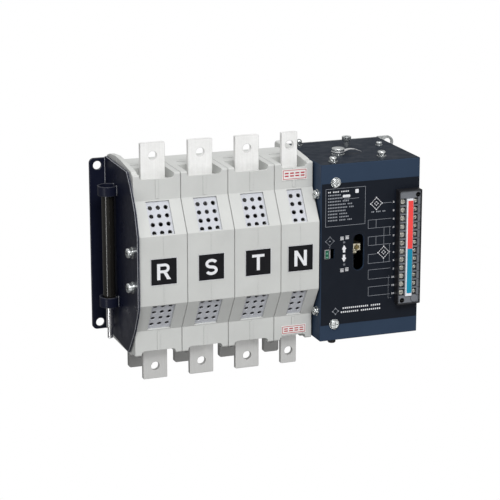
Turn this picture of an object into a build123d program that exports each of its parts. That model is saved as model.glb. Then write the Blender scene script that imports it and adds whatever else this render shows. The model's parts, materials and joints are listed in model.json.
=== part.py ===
"""Four-pole automatic transfer switch, 250 A frame, with its control box and stored operating handle.

Axes: X to the right along the poles, Y towards the mounting panel (the front faces -Y), Z up.
The sub-parts are drawn from the left side of pole R, the mounting plane and the mid height of the poles,
and every one is moved at export so that the origin is the centre of the four panel holes.
"""

from build123d import *
import math
import os

# Poles
POLE_PITCH = 50.0
NEUTRAL_WIDTH = 42.0
POLE_GAP = 0.5
POLE_HALF_HEIGHT = 94.0
FACE_Y = -90.2
NOSE_Y = -110.0
SLOPE_OUTER_Z = 67.5
SLOPE_INNER_Z = 35.5
SEAM_Y = -36.0
SEAM_GAP = 1.0
REAR_CHAMFER_Y = -14.0
REAR_EDGE_DROP = 5.0
SIDE_WALL = 2.5
FRONT_WALL = 4.5
BACK_WALL = 4.0
CAVITY_HALF_HEIGHT = 76.0
BASE_CAVITY_HALF_HEIGHT = 90.0
EDGE_ROUND = 0.8
FRONT_ROUND = 1.8
CHEEK_WIDTH = {"r": 6.0, "n": 7.6}
CHEEK_ROUND = 1.5
CHEEK_FOOT_Z = 86.0
RIB_WIDTH = 3.3
RIB_HEIGHT = 0.4
MOULD_LINE = (0.5, 0.15)
LATCH_SLOT_Y = (-45.4, -43.2)
LATCH_SLOT_DEPTH = 3.0

# Arc vents in the slopes
VENT_WIDTH = 24.6
NEUTRAL_VENT_WIDTH = 16.4
VENT_RECESS = 2.0
VENT_PLATE = 1.2
VENT_HOLE_RADIUS = 2.3
VENT_COLUMN_PITCH = 8.2
VENT_ROW_PITCH = 8.75
VENT_ROWS = 4
VENT_OFFSET = -1.7
VENT_END_MARGIN = 1.0

# Main terminals
TERMINAL_WIDTH = 25.6
NEUTRAL_TERMINAL_WIDTH = 17.1
TERMINAL_THICKNESS = 4.5
TERMINAL_FRONT_Y = -77.2
TERMINAL_TIP_Z = 123.2
TERMINAL_HOLE_Z = 110.0
TERMINAL_HOLE_RADIUS = 4.5
TERMINAL_CORNER = 1.0
LOAD_FRONT_Y = -26.5
LOAD_TIP_Z = 126.5
LOAD_THICKNESS = 5.0
LOAD_HOLE_Z = 112.0
LOAD_CORNER = 2.5
LOAD_SHOULDER_Z = -60.0
LOAD_POST_HALF = 6.0
LOWER_POST_Z = (-74.0, -64.0)
SADDLE_FRONT_Y = -30.0
SADDLE_BACK_Y = -18.0
SADDLE_HALF_HEIGHT = 12.0
SADDLE_WIDTH_RATIO = 0.62
SADDLE_POST_Z = (-5.0, 5.0)
INNER_BAR_RATIO = 0.72
CONTACT_FOOT_Z = CAVITY_HALF_HEIGHT - 6.0
SLOT_CLEARANCE = 0.2
POCKET_DEPTH = 10.0
POCKET_FRONT_Y = -88.0
POCKET_REAR_Y = -58.0
POCKET_SIDE = 5.5
NOTCH_Z = 89.0
NOTCH_ROUND = 3.5

# Contact shaft and contacts
SHAFT_RADIUS = 7.0
SHAFT_Y = SEAM_Y
SHAFT_HOLE_RADIUS = 7.6
SLEEVE_RADIUS = 9.5
SLEEVE_COLLAR = 5.0
SHAFT_START_X = 1.0
BUSH_RADIUS = SLEEVE_RADIUS - 0.1
BUSH_LENGTH = 4.0
BLIND_BUSH_BORE_X = 0.8
BUSH_BORE_RADIUS = SHAFT_RADIUS + 0.05
CONTACT_THROW = 45.0
BOSS_RADIUS = 14.0
BLADE_REACH = 46.0
BLADE_HALF_THICKNESS = 3.0
BLADE_WIDTH_RATIO = 0.54
PAD_START = 34.0
PAD_THICKNESS = 1.5
CONTACT_GAP = 0.35
SADDLE_CLEARANCE = 0.08

# Arc chutes
CHUTE_PLATES = 6
CHUTE_FIRST_Z = 24.0
CHUTE_PITCH = 5.0
CHUTE_PLATE = 1.2
CHUTE_HALF_WIDTH = 13.0
CHUTE_FRONT_Y = -94.5
CHUTE_REAR_Y = -84.0
CHUTE_SIDE = 1.5
CHUTE_NOTCH_HALF = 4.0
CHUTE_NOTCH_DEPTH = 5.0

# Tie rods that clamp the poles together
TIE_ROD_Y = -98.5
TIE_ROD_Z = 18.0
TIE_ROD_RADIUS = 3.0
TIE_ROD_CLEARANCE = 0.3
TIE_ROD_FIT = 0.1
TIE_NUT_RADIUS = 5.8
TIE_NUT_HEIGHT = 5.0
END_SCREW_RADIUS = 6.0
END_SCREW_HEIGHT = 7.4

# Left end plate and stored handle
PLATE = 2.5
PLATE_FACE_X = -2.9
FLANGE_EDGE_X = -19.4
FLANGE_Z = (-88.1, 94.6)
FLANGE_CORNER = 5.0
PANEL_HOLE_LEFT_X = -11.0
PANEL_HOLE_RIGHT_X = 314.0
PANEL_HOLE_TOP_Z = 87.0
PANEL_HOLE_BOTTOM_Z = -81.0
PANEL_HOLE_RADIUS = 4.5
HANDLE_X = -10.8
HANDLE_Y = -38.0
GRIP_RADIUS = 6.4
GRIP_BOTTOM_Z = -45.0
GRIP_TOP_Z = 67.0
GRIP_SOCKET = 40.0
ROD_RADIUS = 3.8
ROD_SHOULDER_Z = -75.6
ROD_TIP_RADIUS = 2.7
ROD_TIP_Z = -87.7
STRAP = 1.6
STRAP_RADIUS = 10.2
UPPER_STRAP_Z = (64.1, 73.9)
LOWER_STRAP_Z = (-53.1, -42.6)
SHELF = 1.4
SHELF_CLEARANCE = 0.5
GRIP_ROUND = 1.5
ROD_CHAMFER = 0.55
REST_GAP = 0.05

# Control box
BOX_LEFT_X = 193.5
BOX_RIGHT_X = 303.3
BOX_FRONT_Y = -109.0
BOX_HALF_HEIGHT = 93.5
BOX_WALL = 2.5
BOX_ROUND = 0.8
BACK_PLATE = 2.0
EAR_RADIUS = 7.2
OVERLAY = 0.3
OVERLAY_Z = (-76.5, 73.5)
OVERLAY_EDGE = 0.8
LEVER_SLOT_X = 235.6
LEVER_SLOT_Z = -1.1
LEVER_SLOT_WIDTH = 12.0
LEVER_SLOT_HEIGHT = 38.6
LEVER_TIP_ROUND = 1.2
FILM_MARGIN = 0.6
WINDOW_X = (197.4, 208.9)
WINDOW_Z = (-5.7, 4.9)

# Terminal block on the control box
BLOCK_X = (276.8, 302.2)
BLOCK_Z = (-60.0, 62.0)
BLOCK_FRONT_Y = -118.2
BLOCK_FRAME_WALL = 1.0
BLOCK_FACE_Y = -116.6
BLOCK_ROWS = 12
BLOCK_PITCH = 8.8
BLOCK_TOP_ROW_Z = 49.5
WELL_DEPTH = 4.4
WELL_HEIGHT = 7.4
LEFT_WELL_X = (278.8, 285.0)
RIGHT_WELL_X = (293.8, 298.6)
PARTITION_GROOVE = 0.6
STRIP_X = (285.5, 292.5)
STRIP_Z = (-51.3, 52.7)
STRIP_THICKNESS = 1.5
MARKER_X = (286.8, 292.2)
MARKER_Z = (-48.1, 50.7)
MARKER_THICKNESS = 0.4
MARKER_SPLIT_Z = -0.2
BLOCK_SCREWS = [(298.4, BLOCK_FACE_Y, 56.3), (282.5, BLOCK_FACE_Y, -56.0)]
BLOCK_SCREW_RADIUS = 2.4
BLOCK_SCREW_GAP = 0.3
BLOCK_SCREW_RECESS = 3.0
TERMINAL_SCREW_HEIGHT = 3.0
SLOT_WIDTH = 0.9
KEY_BOSS = (296.0, -54.6, 3.9)
KEY_BOSS_HEIGHT = 1.0

# Drive inside the control box
CRANK_X = (219.0, 225.0)
DRIVE_SLACK = 0.5
LOST_MOTION = 0.95
CRANK_RADIUS = 24.0
CRANK_PIN_OFFSET = 18.0
CRANK_PIN_RADIUS = 3.0
CRANK_PIN_END_X = 252.0
PIVOT_Y = -72.0
PIVOT_RADIUS = 3.95
PIVOT_CLEARANCE = 0.05
LEVER_THICKNESS = 5.0
LEVER_ARM_Y = (-98.0, -10.0)
LEVER_ARM_HALF = 8.0
LEVER_TIP_Y = -104.0
LEVER_TIP_LENGTH = 14.0
LEVER_TIP_HALF = 4.2
UPRIGHT = 2.5
UPRIGHT_X = (227.5, 243.5)
UPRIGHT_HALF_DEPTH = 6.5
UPRIGHT_TOP_Z = 7.0
FOOT_HALF_DEPTH = 12.0
SOCKET_RADIUS = 2.85
SOCKET_DEPTH = 10.0
SOCKET_Z = 2.75
PLUNGER_X = 248.0
PLUNGER_Y = SHAFT_Y + CRANK_PIN_OFFSET
PLUNGER_RADIUS = 4.5
PLUNGER_GAP = 0.35
PLUNGER_LENGTH = 50.0
YOKE_HALF_THICKNESS = 2.0
YOKE_HALF_HEIGHT = 8.0
COIL_X = (233.0, 263.0)
COIL_FRONT_Y = -36.0
COIL_Z = (30.0, 76.0)
COIL_CHAMFER = 3.0
WINDING_RADIUS = 12.0
WINDING_LIP = 2.0

# Control board behind the terminal block
BOARD_X = (254.0, 299.0)
BOARD_Y = (-100.0, -98.4)
BOARD_HALF_HEIGHT = 62.0
BOARD_POST_RADIUS = 2.5
BOARD_POST_INSET = 4.5
RELAY_X = (259.0, 288.0)
RELAY_REAR_Y = -82.0
RELAY_FIRST_Z = -52.0
RELAY_PITCH = 27.0
RELAY_HEIGHT = 22.0
RELAYS = 4

# Automatic and manual selector
KNOB_X = (197.75, 202.6)
KNOB_Z = (-5.3, 4.5)
KNOB_PROUD = 1.0
KNOB_ROUND = 0.4
SLIDE_X = (197.0, 205.4)
SLIDE_Z = (-10.0, 7.0)
SLIDE_GAP = 0.35
SLIDE_THICKNESS = 1.65

# Labels
PHASE_LABEL_HALF = 13.8
PHASE_LABEL_Z = -1.1
LABEL_THICKNESS = 0.4
SOURCE_LABEL_X = (158.0, 185.2)
UPPER_LABEL_Z = (76.4, 87.8)
LOWER_LABEL_Z = (-87.4, -78.0)

ORIGIN = (
    (PANEL_HOLE_LEFT_X + PANEL_HOLE_RIGHT_X) / 2,
    0.0,
    (PANEL_HOLE_TOP_Z + PANEL_HOLE_BOTTOM_Z) / 2,
)
THROUGH = 400.0


class Pole:
    """One switching pole: its name, its place along X and its widths."""

    def __init__(self, name, left, width, terminal_width, vent_width, vent_columns):
        self.name = name
        self.left = left + POLE_GAP / 2
        self.right = left + width - POLE_GAP / 2
        self.centre = left + width / 2
        self.terminal_width = terminal_width
        self.vent_width = vent_width
        self.vent_columns = vent_columns


POLES = [
    Pole(name, index * POLE_PITCH, POLE_PITCH, TERMINAL_WIDTH, VENT_WIDTH, 3)
    for index, name in enumerate(("r", "s", "t"))
]
POLES.append(Pole("n", 3 * POLE_PITCH, NEUTRAL_WIDTH, NEUTRAL_TERMINAL_WIDTH, NEUTRAL_VENT_WIDTH, 2))


def slab(x_limits, y_limits, z_limits):
    """A box between two corners."""
    sizes = [abs(high - low) for low, high in (x_limits, y_limits, z_limits)]
    middles = [(high + low) / 2 for low, high in (x_limits, y_limits, z_limits)]
    return Pos(*middles) * Box(*sizes)


def rod(start, direction, radius, length):
    """A round bar from a start point along a direction."""
    return Plane(origin=start, z_dir=direction) * Cylinder(
        radius, length, align=(Align.CENTER, Align.CENTER, Align.MIN)
    )


def side_prism(outline, x_limits):
    """A (y, z) outline extruded along X."""
    low, high = x_limits
    edge = Polyline(*[(low, y, z) for y, z in outline], close=True)
    return extrude(make_face(edge), amount=high - low, dir=(1, 0, 0))


def mirrored(half):
    """A (y, z) half outline from the top down, joined to its mirror image below."""
    return half + [(y, -z) for y, z in reversed(half)]


def both_halves(piece):
    """A piece and its mirror image below the mid height."""
    return [piece, mirror(piece, about=Plane.XY)]


def pan_screw(start, outward, radius, height, shank_radius, shank_length):
    """A pan-head cross screw on a washer, seated at a start point, its head pointing outward."""
    washer_height = 0.25 * height
    seat = Plane(origin=start, z_dir=outward)
    base = (Align.CENTER, Align.CENTER, Align.MIN)
    washer = Cylinder(radius, washer_height, align=base)
    head = Pos(0, 0, washer_height) * Cylinder(0.86 * radius, height - washer_height, align=base)
    head = fillet(head.edges().sort_by(Axis.Z)[-1], 0.3 * height)
    bar = Box(1.1 * radius, 0.2 * radius, 0.6 * height)
    cross = Pos(0, 0, height) * (bar + Rot(0, 0, 90) * bar)
    shank = Pos(0, 0, -shank_length) * Cylinder(shank_radius, shank_length, align=base)
    return seat * (washer + (head - cross) + shank)


def screw_hole(start, outward, shank_radius, shank_length):
    """The clearance hole for a pan screw's shank."""
    inward = tuple(-value for value in outward)
    return rod(start, inward, shank_radius + 0.1, shank_length + 1.0)


# ---------------------------------------------------------------- poles


def slope_plane(pole):
    """The plane of a pole's upper slope, with its Y axis pointing up the slope."""
    rise = SLOPE_OUTER_Z - SLOPE_INNER_Z
    run = FACE_Y - NOSE_Y
    middle = (pole.centre, (FACE_Y + NOSE_Y) / 2, (SLOPE_OUTER_Z + SLOPE_INNER_Z) / 2)
    return Plane(origin=middle, x_dir=(1, 0, 0), z_dir=(0, -rise, run))


def slope_length():
    return math.hypot(SLOPE_OUTER_Z - SLOPE_INNER_Z, FACE_Y - NOSE_Y)


def cavity_outline():
    """The inside of the front housing, its wall measured square to the slope."""
    steepness = (FACE_Y - NOSE_Y) / (SLOPE_OUTER_Z - SLOPE_INNER_Z)
    drop = FRONT_WALL * (math.hypot(1, steepness) - 1) / steepness
    half = [
        (SEAM_Y + SEAM_GAP, CAVITY_HALF_HEIGHT),
        (FACE_Y + FRONT_WALL, CAVITY_HALF_HEIGHT),
        (FACE_Y + FRONT_WALL, SLOPE_OUTER_Z - drop),
        (NOSE_Y + FRONT_WALL, SLOPE_INNER_Z - drop),
    ]
    return mirrored(half)


def cheek_limits(pole):
    """The X limits of the raised outer cheek on an end pole, or None between poles."""
    if pole.name == "r":
        return (pole.left, pole.left + CHEEK_WIDTH["r"])
    if pole.name == "n":
        return (pole.right - CHEEK_WIDTH["n"], pole.right)
    return None


def cheek_outline(pole):
    """The raised edge above an end pole, from the panel to the front."""
    if pole.name == "r":
        crown = [(0, 96.6), (-10, 100.0), (-30, 102.0), (-50, 101.0), (-84, 96.6), (-89, 92.5)]
    else:
        crown = [(0, 96.0), (-3, 98.6), (-47, 97.6), (-76, 94.8), (-87, 92.4), (-89.5, 87.0)]
    return [(0, CHEEK_FOOT_Z)] + crown + [(crown[-1][0], CHEEK_FOOT_Z)]


def bottom_cheek_outline():
    """The lower raised edge, lower than the upper one."""
    crown = [(0, -92.0), (-8, -96.5), (-74, -96.5), (-84, -92.5)]
    return [(0, -CHEEK_FOOT_Z)] + crown + [(crown[-1][0], -CHEEK_FOOT_Z)]


def cheeks(pole, y_limits):
    """The raised edges of an end pole between two depths, rounded on the side away from the pole's end."""
    limits = cheek_limits(pole)
    if limits is None:
        return []
    keep = slab(limits, y_limits, (-THROUGH, THROUGH))
    inner_side = -1 if pole.name == "r" else 0
    pieces = []
    for outline in (cheek_outline(pole), bottom_cheek_outline()):
        piece = side_prism(outline, limits)
        rim = piece.faces().sort_by(Axis.X)[inner_side].edges()
        rim = rim.filter_by(lambda edge: abs(edge.center().Z) > CHEEK_FOOT_Z + CHEEK_ROUND)
        pieces.append(fillet(rim, CHEEK_ROUND) & keep)
    return pieces


def wall_holes(pole):
    """The shaft and tie-rod holes through a pole's side walls."""
    start_x = pole.left - 1.0
    length = pole.right - pole.left + 2.0
    shaft = rod((start_x, SHAFT_Y, 0), (1, 0, 0), SHAFT_HOLE_RADIUS, length)
    holes = [shaft]
    for side in (1, -1):
        holes.append(rod((start_x, TIE_ROD_Y, side * TIE_ROD_Z), (1, 0, 0), TIE_ROD_RADIUS + TIE_ROD_CLEARANCE, length))
    if pole.name == "r":
        holes.append(rod((start_x, SHAFT_Y, 0), (1, 0, 0), SLEEVE_RADIUS, 4.5))
    return holes


def terminal_pocket(pole):
    """The pocket around an upper terminal and the notch in the front wall before it."""
    half = pole.terminal_width / 2 + POCKET_SIDE
    floor_z = POLE_HALF_HEIGHT - POCKET_DEPTH
    limits = (pole.centre - half, pole.centre + half)
    pocket = slab(limits, (POCKET_FRONT_Y, POCKET_REAR_Y), (floor_z, THROUGH))
    pocket = fillet(pocket.edges().filter_by(Axis.Z), EDGE_ROUND)
    notch = slab(limits, (-THROUGH, POCKET_FRONT_Y + EDGE_ROUND), (NOTCH_Z, THROUGH))
    return pocket + fillet(notch.edges().filter_by(Axis.Y).group_by(Axis.Z)[0], NOTCH_ROUND)


def terminal_slot(pole):
    """The slot that holds an upper terminal in the housing."""
    half = pole.terminal_width / 2 + SLOT_CLEARANCE
    depth = (TERMINAL_FRONT_Y - SLOT_CLEARANCE, TERMINAL_FRONT_Y + TERMINAL_THICKNESS + SLOT_CLEARANCE)
    return slab((pole.centre - half, pole.centre + half), depth, (CAVITY_HALF_HEIGHT - 1, POLE_HALF_HEIGHT))


def latch_slot(pole):
    """The shallow slot behind an upper terminal, for the latch between the two housings."""
    half = pole.terminal_width / 2 + 1.5
    floor_z = POLE_HALF_HEIGHT - LATCH_SLOT_DEPTH
    return slab((pole.centre - half, pole.centre + half), LATCH_SLOT_Y, (floor_z, THROUGH))


def vent_cut(pole):
    """The recess of a vent panel and the window behind it."""
    length = slope_length() - 2 * VENT_END_MARGIN
    depth = VENT_RECESS + VENT_PLATE
    recess = Pos(0, 0, -depth / 2 + 5) * Box(pole.vent_width, length, depth + 10)
    window = Box(pole.vent_width - 4, length - 4, 20)
    return slope_plane(pole) * (recess + window)


def vent_panel(pole):
    """The perforated panel that closes a vent."""
    clearance = 0.2
    length = slope_length() - 2 * VENT_END_MARGIN - clearance
    plate = Pos(0, 0, -VENT_RECESS - VENT_PLATE / 2) * Box(pole.vent_width - clearance, length, VENT_PLATE)
    spots = GridLocations(VENT_COLUMN_PITCH, VENT_ROW_PITCH, pole.vent_columns, VENT_ROWS)
    for spot in spots:
        plate -= Pos(0, VENT_OFFSET, 0) * spot * Cylinder(VENT_HOLE_RADIUS, 20)
    return slope_plane(pole) * plate


def raised_lines(pole):
    """The rib above a vent and the fine mould line on the nose, both in the middle of the pole."""
    rib = slab(
        (pole.centre - RIB_WIDTH / 2, pole.centre + RIB_WIDTH / 2),
        (FACE_Y - RIB_HEIGHT, FACE_Y + 1),
        (SLOPE_OUTER_Z + 1.5, POLE_HALF_HEIGHT - 2),
    )
    width, height = MOULD_LINE
    line_start_z = PHASE_LABEL_HALF - PHASE_LABEL_Z + 0.5
    line = slab(
        (pole.centre - width / 2, pole.centre + width / 2),
        (NOSE_Y - height, NOSE_Y + 1),
        (line_start_z, SLOPE_INNER_Z - 1),
    )
    return [rib, line]


def pole_cover(pole):
    """The front housing of a pole: slopes, pockets, vents and end cheeks."""
    half = [
        (SEAM_Y - SEAM_GAP / 2, POLE_HALF_HEIGHT),
        (FACE_Y, POLE_HALF_HEIGHT),
        (FACE_Y, SLOPE_OUTER_Z),
        (NOSE_Y, SLOPE_INNER_Z),
    ]
    cover = side_prism(mirrored(half), (pole.left, pole.right))
    outer_front = cover.edges().filter_by(Axis.X).filter_by_position(Axis.Y, FACE_Y - 1, FACE_Y + 1)
    outer_front = outer_front.group_by(Axis.Z)
    cover = fillet(outer_front[0] + outer_front[-1], FRONT_ROUND)
    side_faces = cover.faces().sort_by(Axis.X)
    cover = fillet(side_faces[0].edges() + side_faces[-1].edges(), EDGE_ROUND)
    for cheek in cheeks(pole, (-THROUGH, SEAM_Y - SEAM_GAP / 2)):
        cover += cheek
    for raised in raised_lines(pole):
        for piece in both_halves(raised):
            cover += piece
    cover -= side_prism(cavity_outline(), (pole.left + SIDE_WALL, pole.right - SIDE_WALL))
    for upper_cut in (terminal_pocket(pole), terminal_slot(pole), latch_slot(pole), vent_cut(pole)):
        for cut in both_halves(upper_cut):
            cover -= cut
    for hole in wall_holes(pole):
        cover -= hole
    return cover


def pole_base(pole):
    """The rear housing of a pole, with its posts for the load terminal."""
    half = [
        (0, POLE_HALF_HEIGHT - REAR_EDGE_DROP),
        (REAR_CHAMFER_Y, POLE_HALF_HEIGHT),
        (SEAM_Y + SEAM_GAP / 2, POLE_HALF_HEIGHT),
    ]
    base = side_prism(mirrored(half), (pole.left, pole.right))
    side_faces = base.faces().sort_by(Axis.X)
    base = fillet(side_faces[0].edges() + side_faces[-1].edges(), EDGE_ROUND)
    for cheek in cheeks(pole, (SEAM_Y + SEAM_GAP / 2, 0)):
        base += cheek
    inner_x = (pole.left + SIDE_WALL, pole.right - SIDE_WALL)
    base -= slab(inner_x, (-THROUGH, -BACK_WALL), (-BASE_CAVITY_HALF_HEIGHT, BASE_CAVITY_HALF_HEIGHT))
    bar_back_y = LOAD_FRONT_Y + LOAD_THICKNESS
    post_x = (pole.centre - LOAD_POST_HALF, pole.centre + LOAD_POST_HALF)
    base += slab(post_x, (bar_back_y, -BACK_WALL), LOWER_POST_Z)
    base += slab(post_x, (SADDLE_BACK_Y, -BACK_WALL), SADDLE_POST_Z)
    half_slot = pole.terminal_width / 2 + SLOT_CLEARANCE
    base -= slab(
        (pole.centre - half_slot, pole.centre + half_slot),
        (LOAD_FRONT_Y - SLOT_CLEARANCE, bar_back_y + SLOT_CLEARANCE),
        (-THROUGH, -BASE_CAVITY_HALF_HEIGHT + 1),
    )
    for hole in wall_holes(pole):
        base -= hole
    return base


# ---------------------------------------------------------------- contacts


def thrown(radius, offset):
    """A (y, z) point on a closed blade: its distance from the shaft and its offset beyond the blade."""
    angle = math.radians(CONTACT_THROW)
    y = SHAFT_Y - radius * math.cos(angle) + offset * math.sin(angle)
    z = radius * math.sin(angle) + offset * math.cos(angle)
    return (y, z)


def terminal_hole(pole, hole_z):
    """The lug bolt's hole through a terminal."""
    return rod((pole.centre, -THROUGH / 2, hole_z), (0, 1, 0), TERMINAL_HOLE_RADIUS, THROUGH)


def source_contact(pole):
    """The upper terminal with its bent inner bar and fixed contact pad."""
    face = BLADE_HALF_THICKNESS + PAD_THICKNESS + CONTACT_GAP
    near = face + PAD_THICKNESS
    far = near + TERMINAL_THICKNESS
    back_y = TERMINAL_FRONT_Y + TERMINAL_THICKNESS
    bend = (thrown(0, near)[0] - TERMINAL_FRONT_Y) / math.cos(math.radians(CONTACT_THROW))
    inner_bend = (thrown(0, far)[0] - back_y) / math.cos(math.radians(CONTACT_THROW))
    outline = [
        (TERMINAL_FRONT_Y, CONTACT_FOOT_Z),
        thrown(bend, near),
        thrown(PAD_START - 1, near),
        thrown(PAD_START - 1, far),
        thrown(inner_bend, far),
        (back_y, CONTACT_FOOT_Z),
    ]
    inner_half = INNER_BAR_RATIO * pole.terminal_width / 2
    inner = side_prism(outline, (pole.centre - inner_half, pole.centre + inner_half))
    pad_outline = [
        thrown(PAD_START, face),
        thrown(BLADE_REACH, face),
        thrown(BLADE_REACH, near + 0.5),
        thrown(PAD_START, near + 0.5),
    ]
    pad = side_prism(pad_outline, (pole.centre - inner_half + 1, pole.centre + inner_half - 1))
    half = pole.terminal_width / 2
    blade_x = (pole.centre - half, pole.centre + half)
    blade = slab(blade_x, (TERMINAL_FRONT_Y, back_y), (CONTACT_FOOT_Z, TERMINAL_TIP_Z))
    blade = fillet(blade.edges().filter_by(Axis.Y).group_by(Axis.Z)[-1], TERMINAL_CORNER)
    return blade + inner + pad - terminal_hole(pole, TERMINAL_HOLE_Z)


def load_contact(pole):
    """The rear terminal, rising to a saddle that bears on the moving contact's boss."""
    half = pole.terminal_width / 2
    saddle_half = SADDLE_WIDTH_RATIO * half
    back_y = LOAD_FRONT_Y + LOAD_THICKNESS
    bar = slab(
        (pole.centre - half, pole.centre + half), (LOAD_FRONT_Y, back_y), (-LOAD_TIP_Z, LOAD_SHOULDER_Z)
    )
    bar = fillet(bar.edges().filter_by(Axis.Y).group_by(Axis.Z)[0], LOAD_CORNER)
    saddle_x = (pole.centre - saddle_half, pole.centre + saddle_half)
    riser = slab(saddle_x, (LOAD_FRONT_Y, back_y), (LOAD_SHOULDER_Z, SADDLE_HALF_HEIGHT))
    saddle = slab(saddle_x, (SADDLE_FRONT_Y, SADDLE_BACK_Y), (-SADDLE_HALF_HEIGHT, SADDLE_HALF_HEIGHT))
    seat = across_pole(pole, BOSS_RADIUS + SADDLE_CLEARANCE, POLE_PITCH)
    return bar + riser + saddle - seat - terminal_hole(pole, -LOAD_HOLE_Z)


def across_pole(pole, radius, length):
    """A round bar on the shaft's axis, centred on a pole."""
    return rod((pole.centre - length / 2, SHAFT_Y, 0), (1, 0, 0), radius, length)


def moving_contact(pole):
    """The copper blade, its boss round the shaft sleeve and its two contact pads, at the off position."""
    half = BLADE_WIDTH_RATIO * pole.terminal_width / 2
    boss = across_pole(pole, BOSS_RADIUS, SADDLE_WIDTH_RATIO * pole.terminal_width)
    blade = slab(
        (pole.centre - half, pole.centre + half),
        (SHAFT_Y - BLADE_REACH, SHAFT_Y),
        (-BLADE_HALF_THICKNESS, BLADE_HALF_THICKNESS),
    )
    pad_half = BLADE_HALF_THICKNESS + PAD_THICKNESS
    pads = slab(
        (pole.centre - half + 1, pole.centre + half - 1),
        (SHAFT_Y - BLADE_REACH, SHAFT_Y - PAD_START),
        (-pad_half, pad_half),
    )
    return boss + blade + pads - across_pole(pole, SLEEVE_RADIUS, POLE_PITCH)


def shaft_sleeve(pole):
    """The insulating sleeve between the shaft and a moving contact."""
    length = SADDLE_WIDTH_RATIO * pole.terminal_width + 2 * SLEEVE_COLLAR
    return across_pole(pole, SLEEVE_RADIUS, length) - across_pole(pole, SHAFT_RADIUS, POLE_PITCH)


def arc_chute(pole):
    """The upper stack of splitter plates between two insulating sides."""
    half = min(CHUTE_HALF_WIDTH, 0.5 * (pole.right - pole.left) - SIDE_WALL - CHUTE_SIDE - 1)
    depth = (CHUTE_FRONT_Y, CHUTE_REAR_Y)
    top_z = CHUTE_FIRST_Z + (CHUTE_PLATES - 1) * CHUTE_PITCH + CHUTE_PLATE
    notch = slab(
        (pole.centre - CHUTE_NOTCH_HALF, pole.centre + CHUTE_NOTCH_HALF),
        (CHUTE_REAR_Y - CHUTE_NOTCH_DEPTH, CHUTE_REAR_Y + 1),
        (0, THROUGH),
    )
    pieces = []
    for index in range(CHUTE_PLATES):
        low = CHUTE_FIRST_Z + index * CHUTE_PITCH
        plate = slab((pole.centre - half, pole.centre + half), depth, (low, low + CHUTE_PLATE))
        pieces.append(plate - notch)
    for inner, outer in ((-half, -half - CHUTE_SIDE), (half, half + CHUTE_SIDE)):
        pieces.append(slab((pole.centre + inner, pole.centre + outer), depth, (CHUTE_FIRST_Z, top_z)))
    return pieces


# ---------------------------------------------------------------- shaft, bushes and rods


def main_shaft():
    """The shaft through all four poles, up to the crank in the control box."""
    start = (SHAFT_START_X, SHAFT_Y, 0)
    return rod(start, (1, 0, 0), SHAFT_RADIUS, CRANK_X[0] - SHAFT_START_X)


def shaft_bushes():
    """The blind bush in pole R's outer wall and the flanged bush in the control box's wall."""
    left = rod((POLES[0].left, SHAFT_Y, 0), (1, 0, 0), BUSH_RADIUS, BUSH_LENGTH)
    left -= rod((BLIND_BUSH_BORE_X, SHAFT_Y, 0), (1, 0, 0), BUSH_BORE_RADIUS, THROUGH)
    right = rod((BOX_LEFT_X, SHAFT_Y, 0), (1, 0, 0), BUSH_RADIUS, 2 * BUSH_LENGTH)
    right += rod((BOX_LEFT_X + BOX_WALL, SHAFT_Y, 0), (1, 0, 0), BUSH_RADIUS + 3, 2)
    right -= rod((BOX_LEFT_X - 1, SHAFT_Y, 0), (1, 0, 0), BUSH_BORE_RADIUS, THROUGH)
    return [left, right]


def tie_rods():
    """The two rods that clamp the poles between the end plate and the control box."""
    nut_x = BOX_LEFT_X + BOX_WALL
    end_x = nut_x + TIE_NUT_HEIGHT + TIE_ROD_RADIUS
    pieces = []
    for side in (1, -1):
        z = side * TIE_ROD_Z
        bar = rod((PLATE_FACE_X, TIE_ROD_Y, z), (1, 0, 0), TIE_ROD_RADIUS, end_x - PLATE_FACE_X)
        nut_face = Plane(origin=(nut_x, TIE_ROD_Y, z), z_dir=(1, 0, 0))
        nut = extrude(nut_face * RegularPolygon(TIE_NUT_RADIUS, 6), amount=TIE_NUT_HEIGHT)
        pieces.append(bar + nut)
    return pieces


def end_plate_screws():
    """The two heads and washers that pull the tie rods against the end plate."""
    stub = 0.5
    pieces = []
    for side in (1, -1):
        start = (PLATE_FACE_X, TIE_ROD_Y, side * TIE_ROD_Z)
        head = pan_screw(start, (-1, 0, 0), END_SCREW_RADIUS, END_SCREW_HEIGHT, stub, stub)
        plate_side = (PLATE_FACE_X, PLATE_FACE_X + 2 * stub)
        pieces.append(head - slab(plate_side, (-THROUGH, 0), (-THROUGH, THROUGH)))
    return pieces


# ---------------------------------------------------------------- left end plate and handle


def strap_bore(radius, z_limits):
    """A round column on the stored handle's axis."""
    low, high = z_limits
    return rod((HANDLE_X, HANDLE_Y, low), (0, 0, 1), radius, high - low)


def handle_strap(z_limits):
    """A half-round loop of strip on the end plate that goes round the stored handle."""
    loop = strap_bore(STRAP_RADIUS, z_limits) - strap_bore(STRAP_RADIUS - STRAP, z_limits)
    return loop & slab((-THROUGH, PLATE_FACE_X), (-THROUGH, 0), z_limits)


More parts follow.
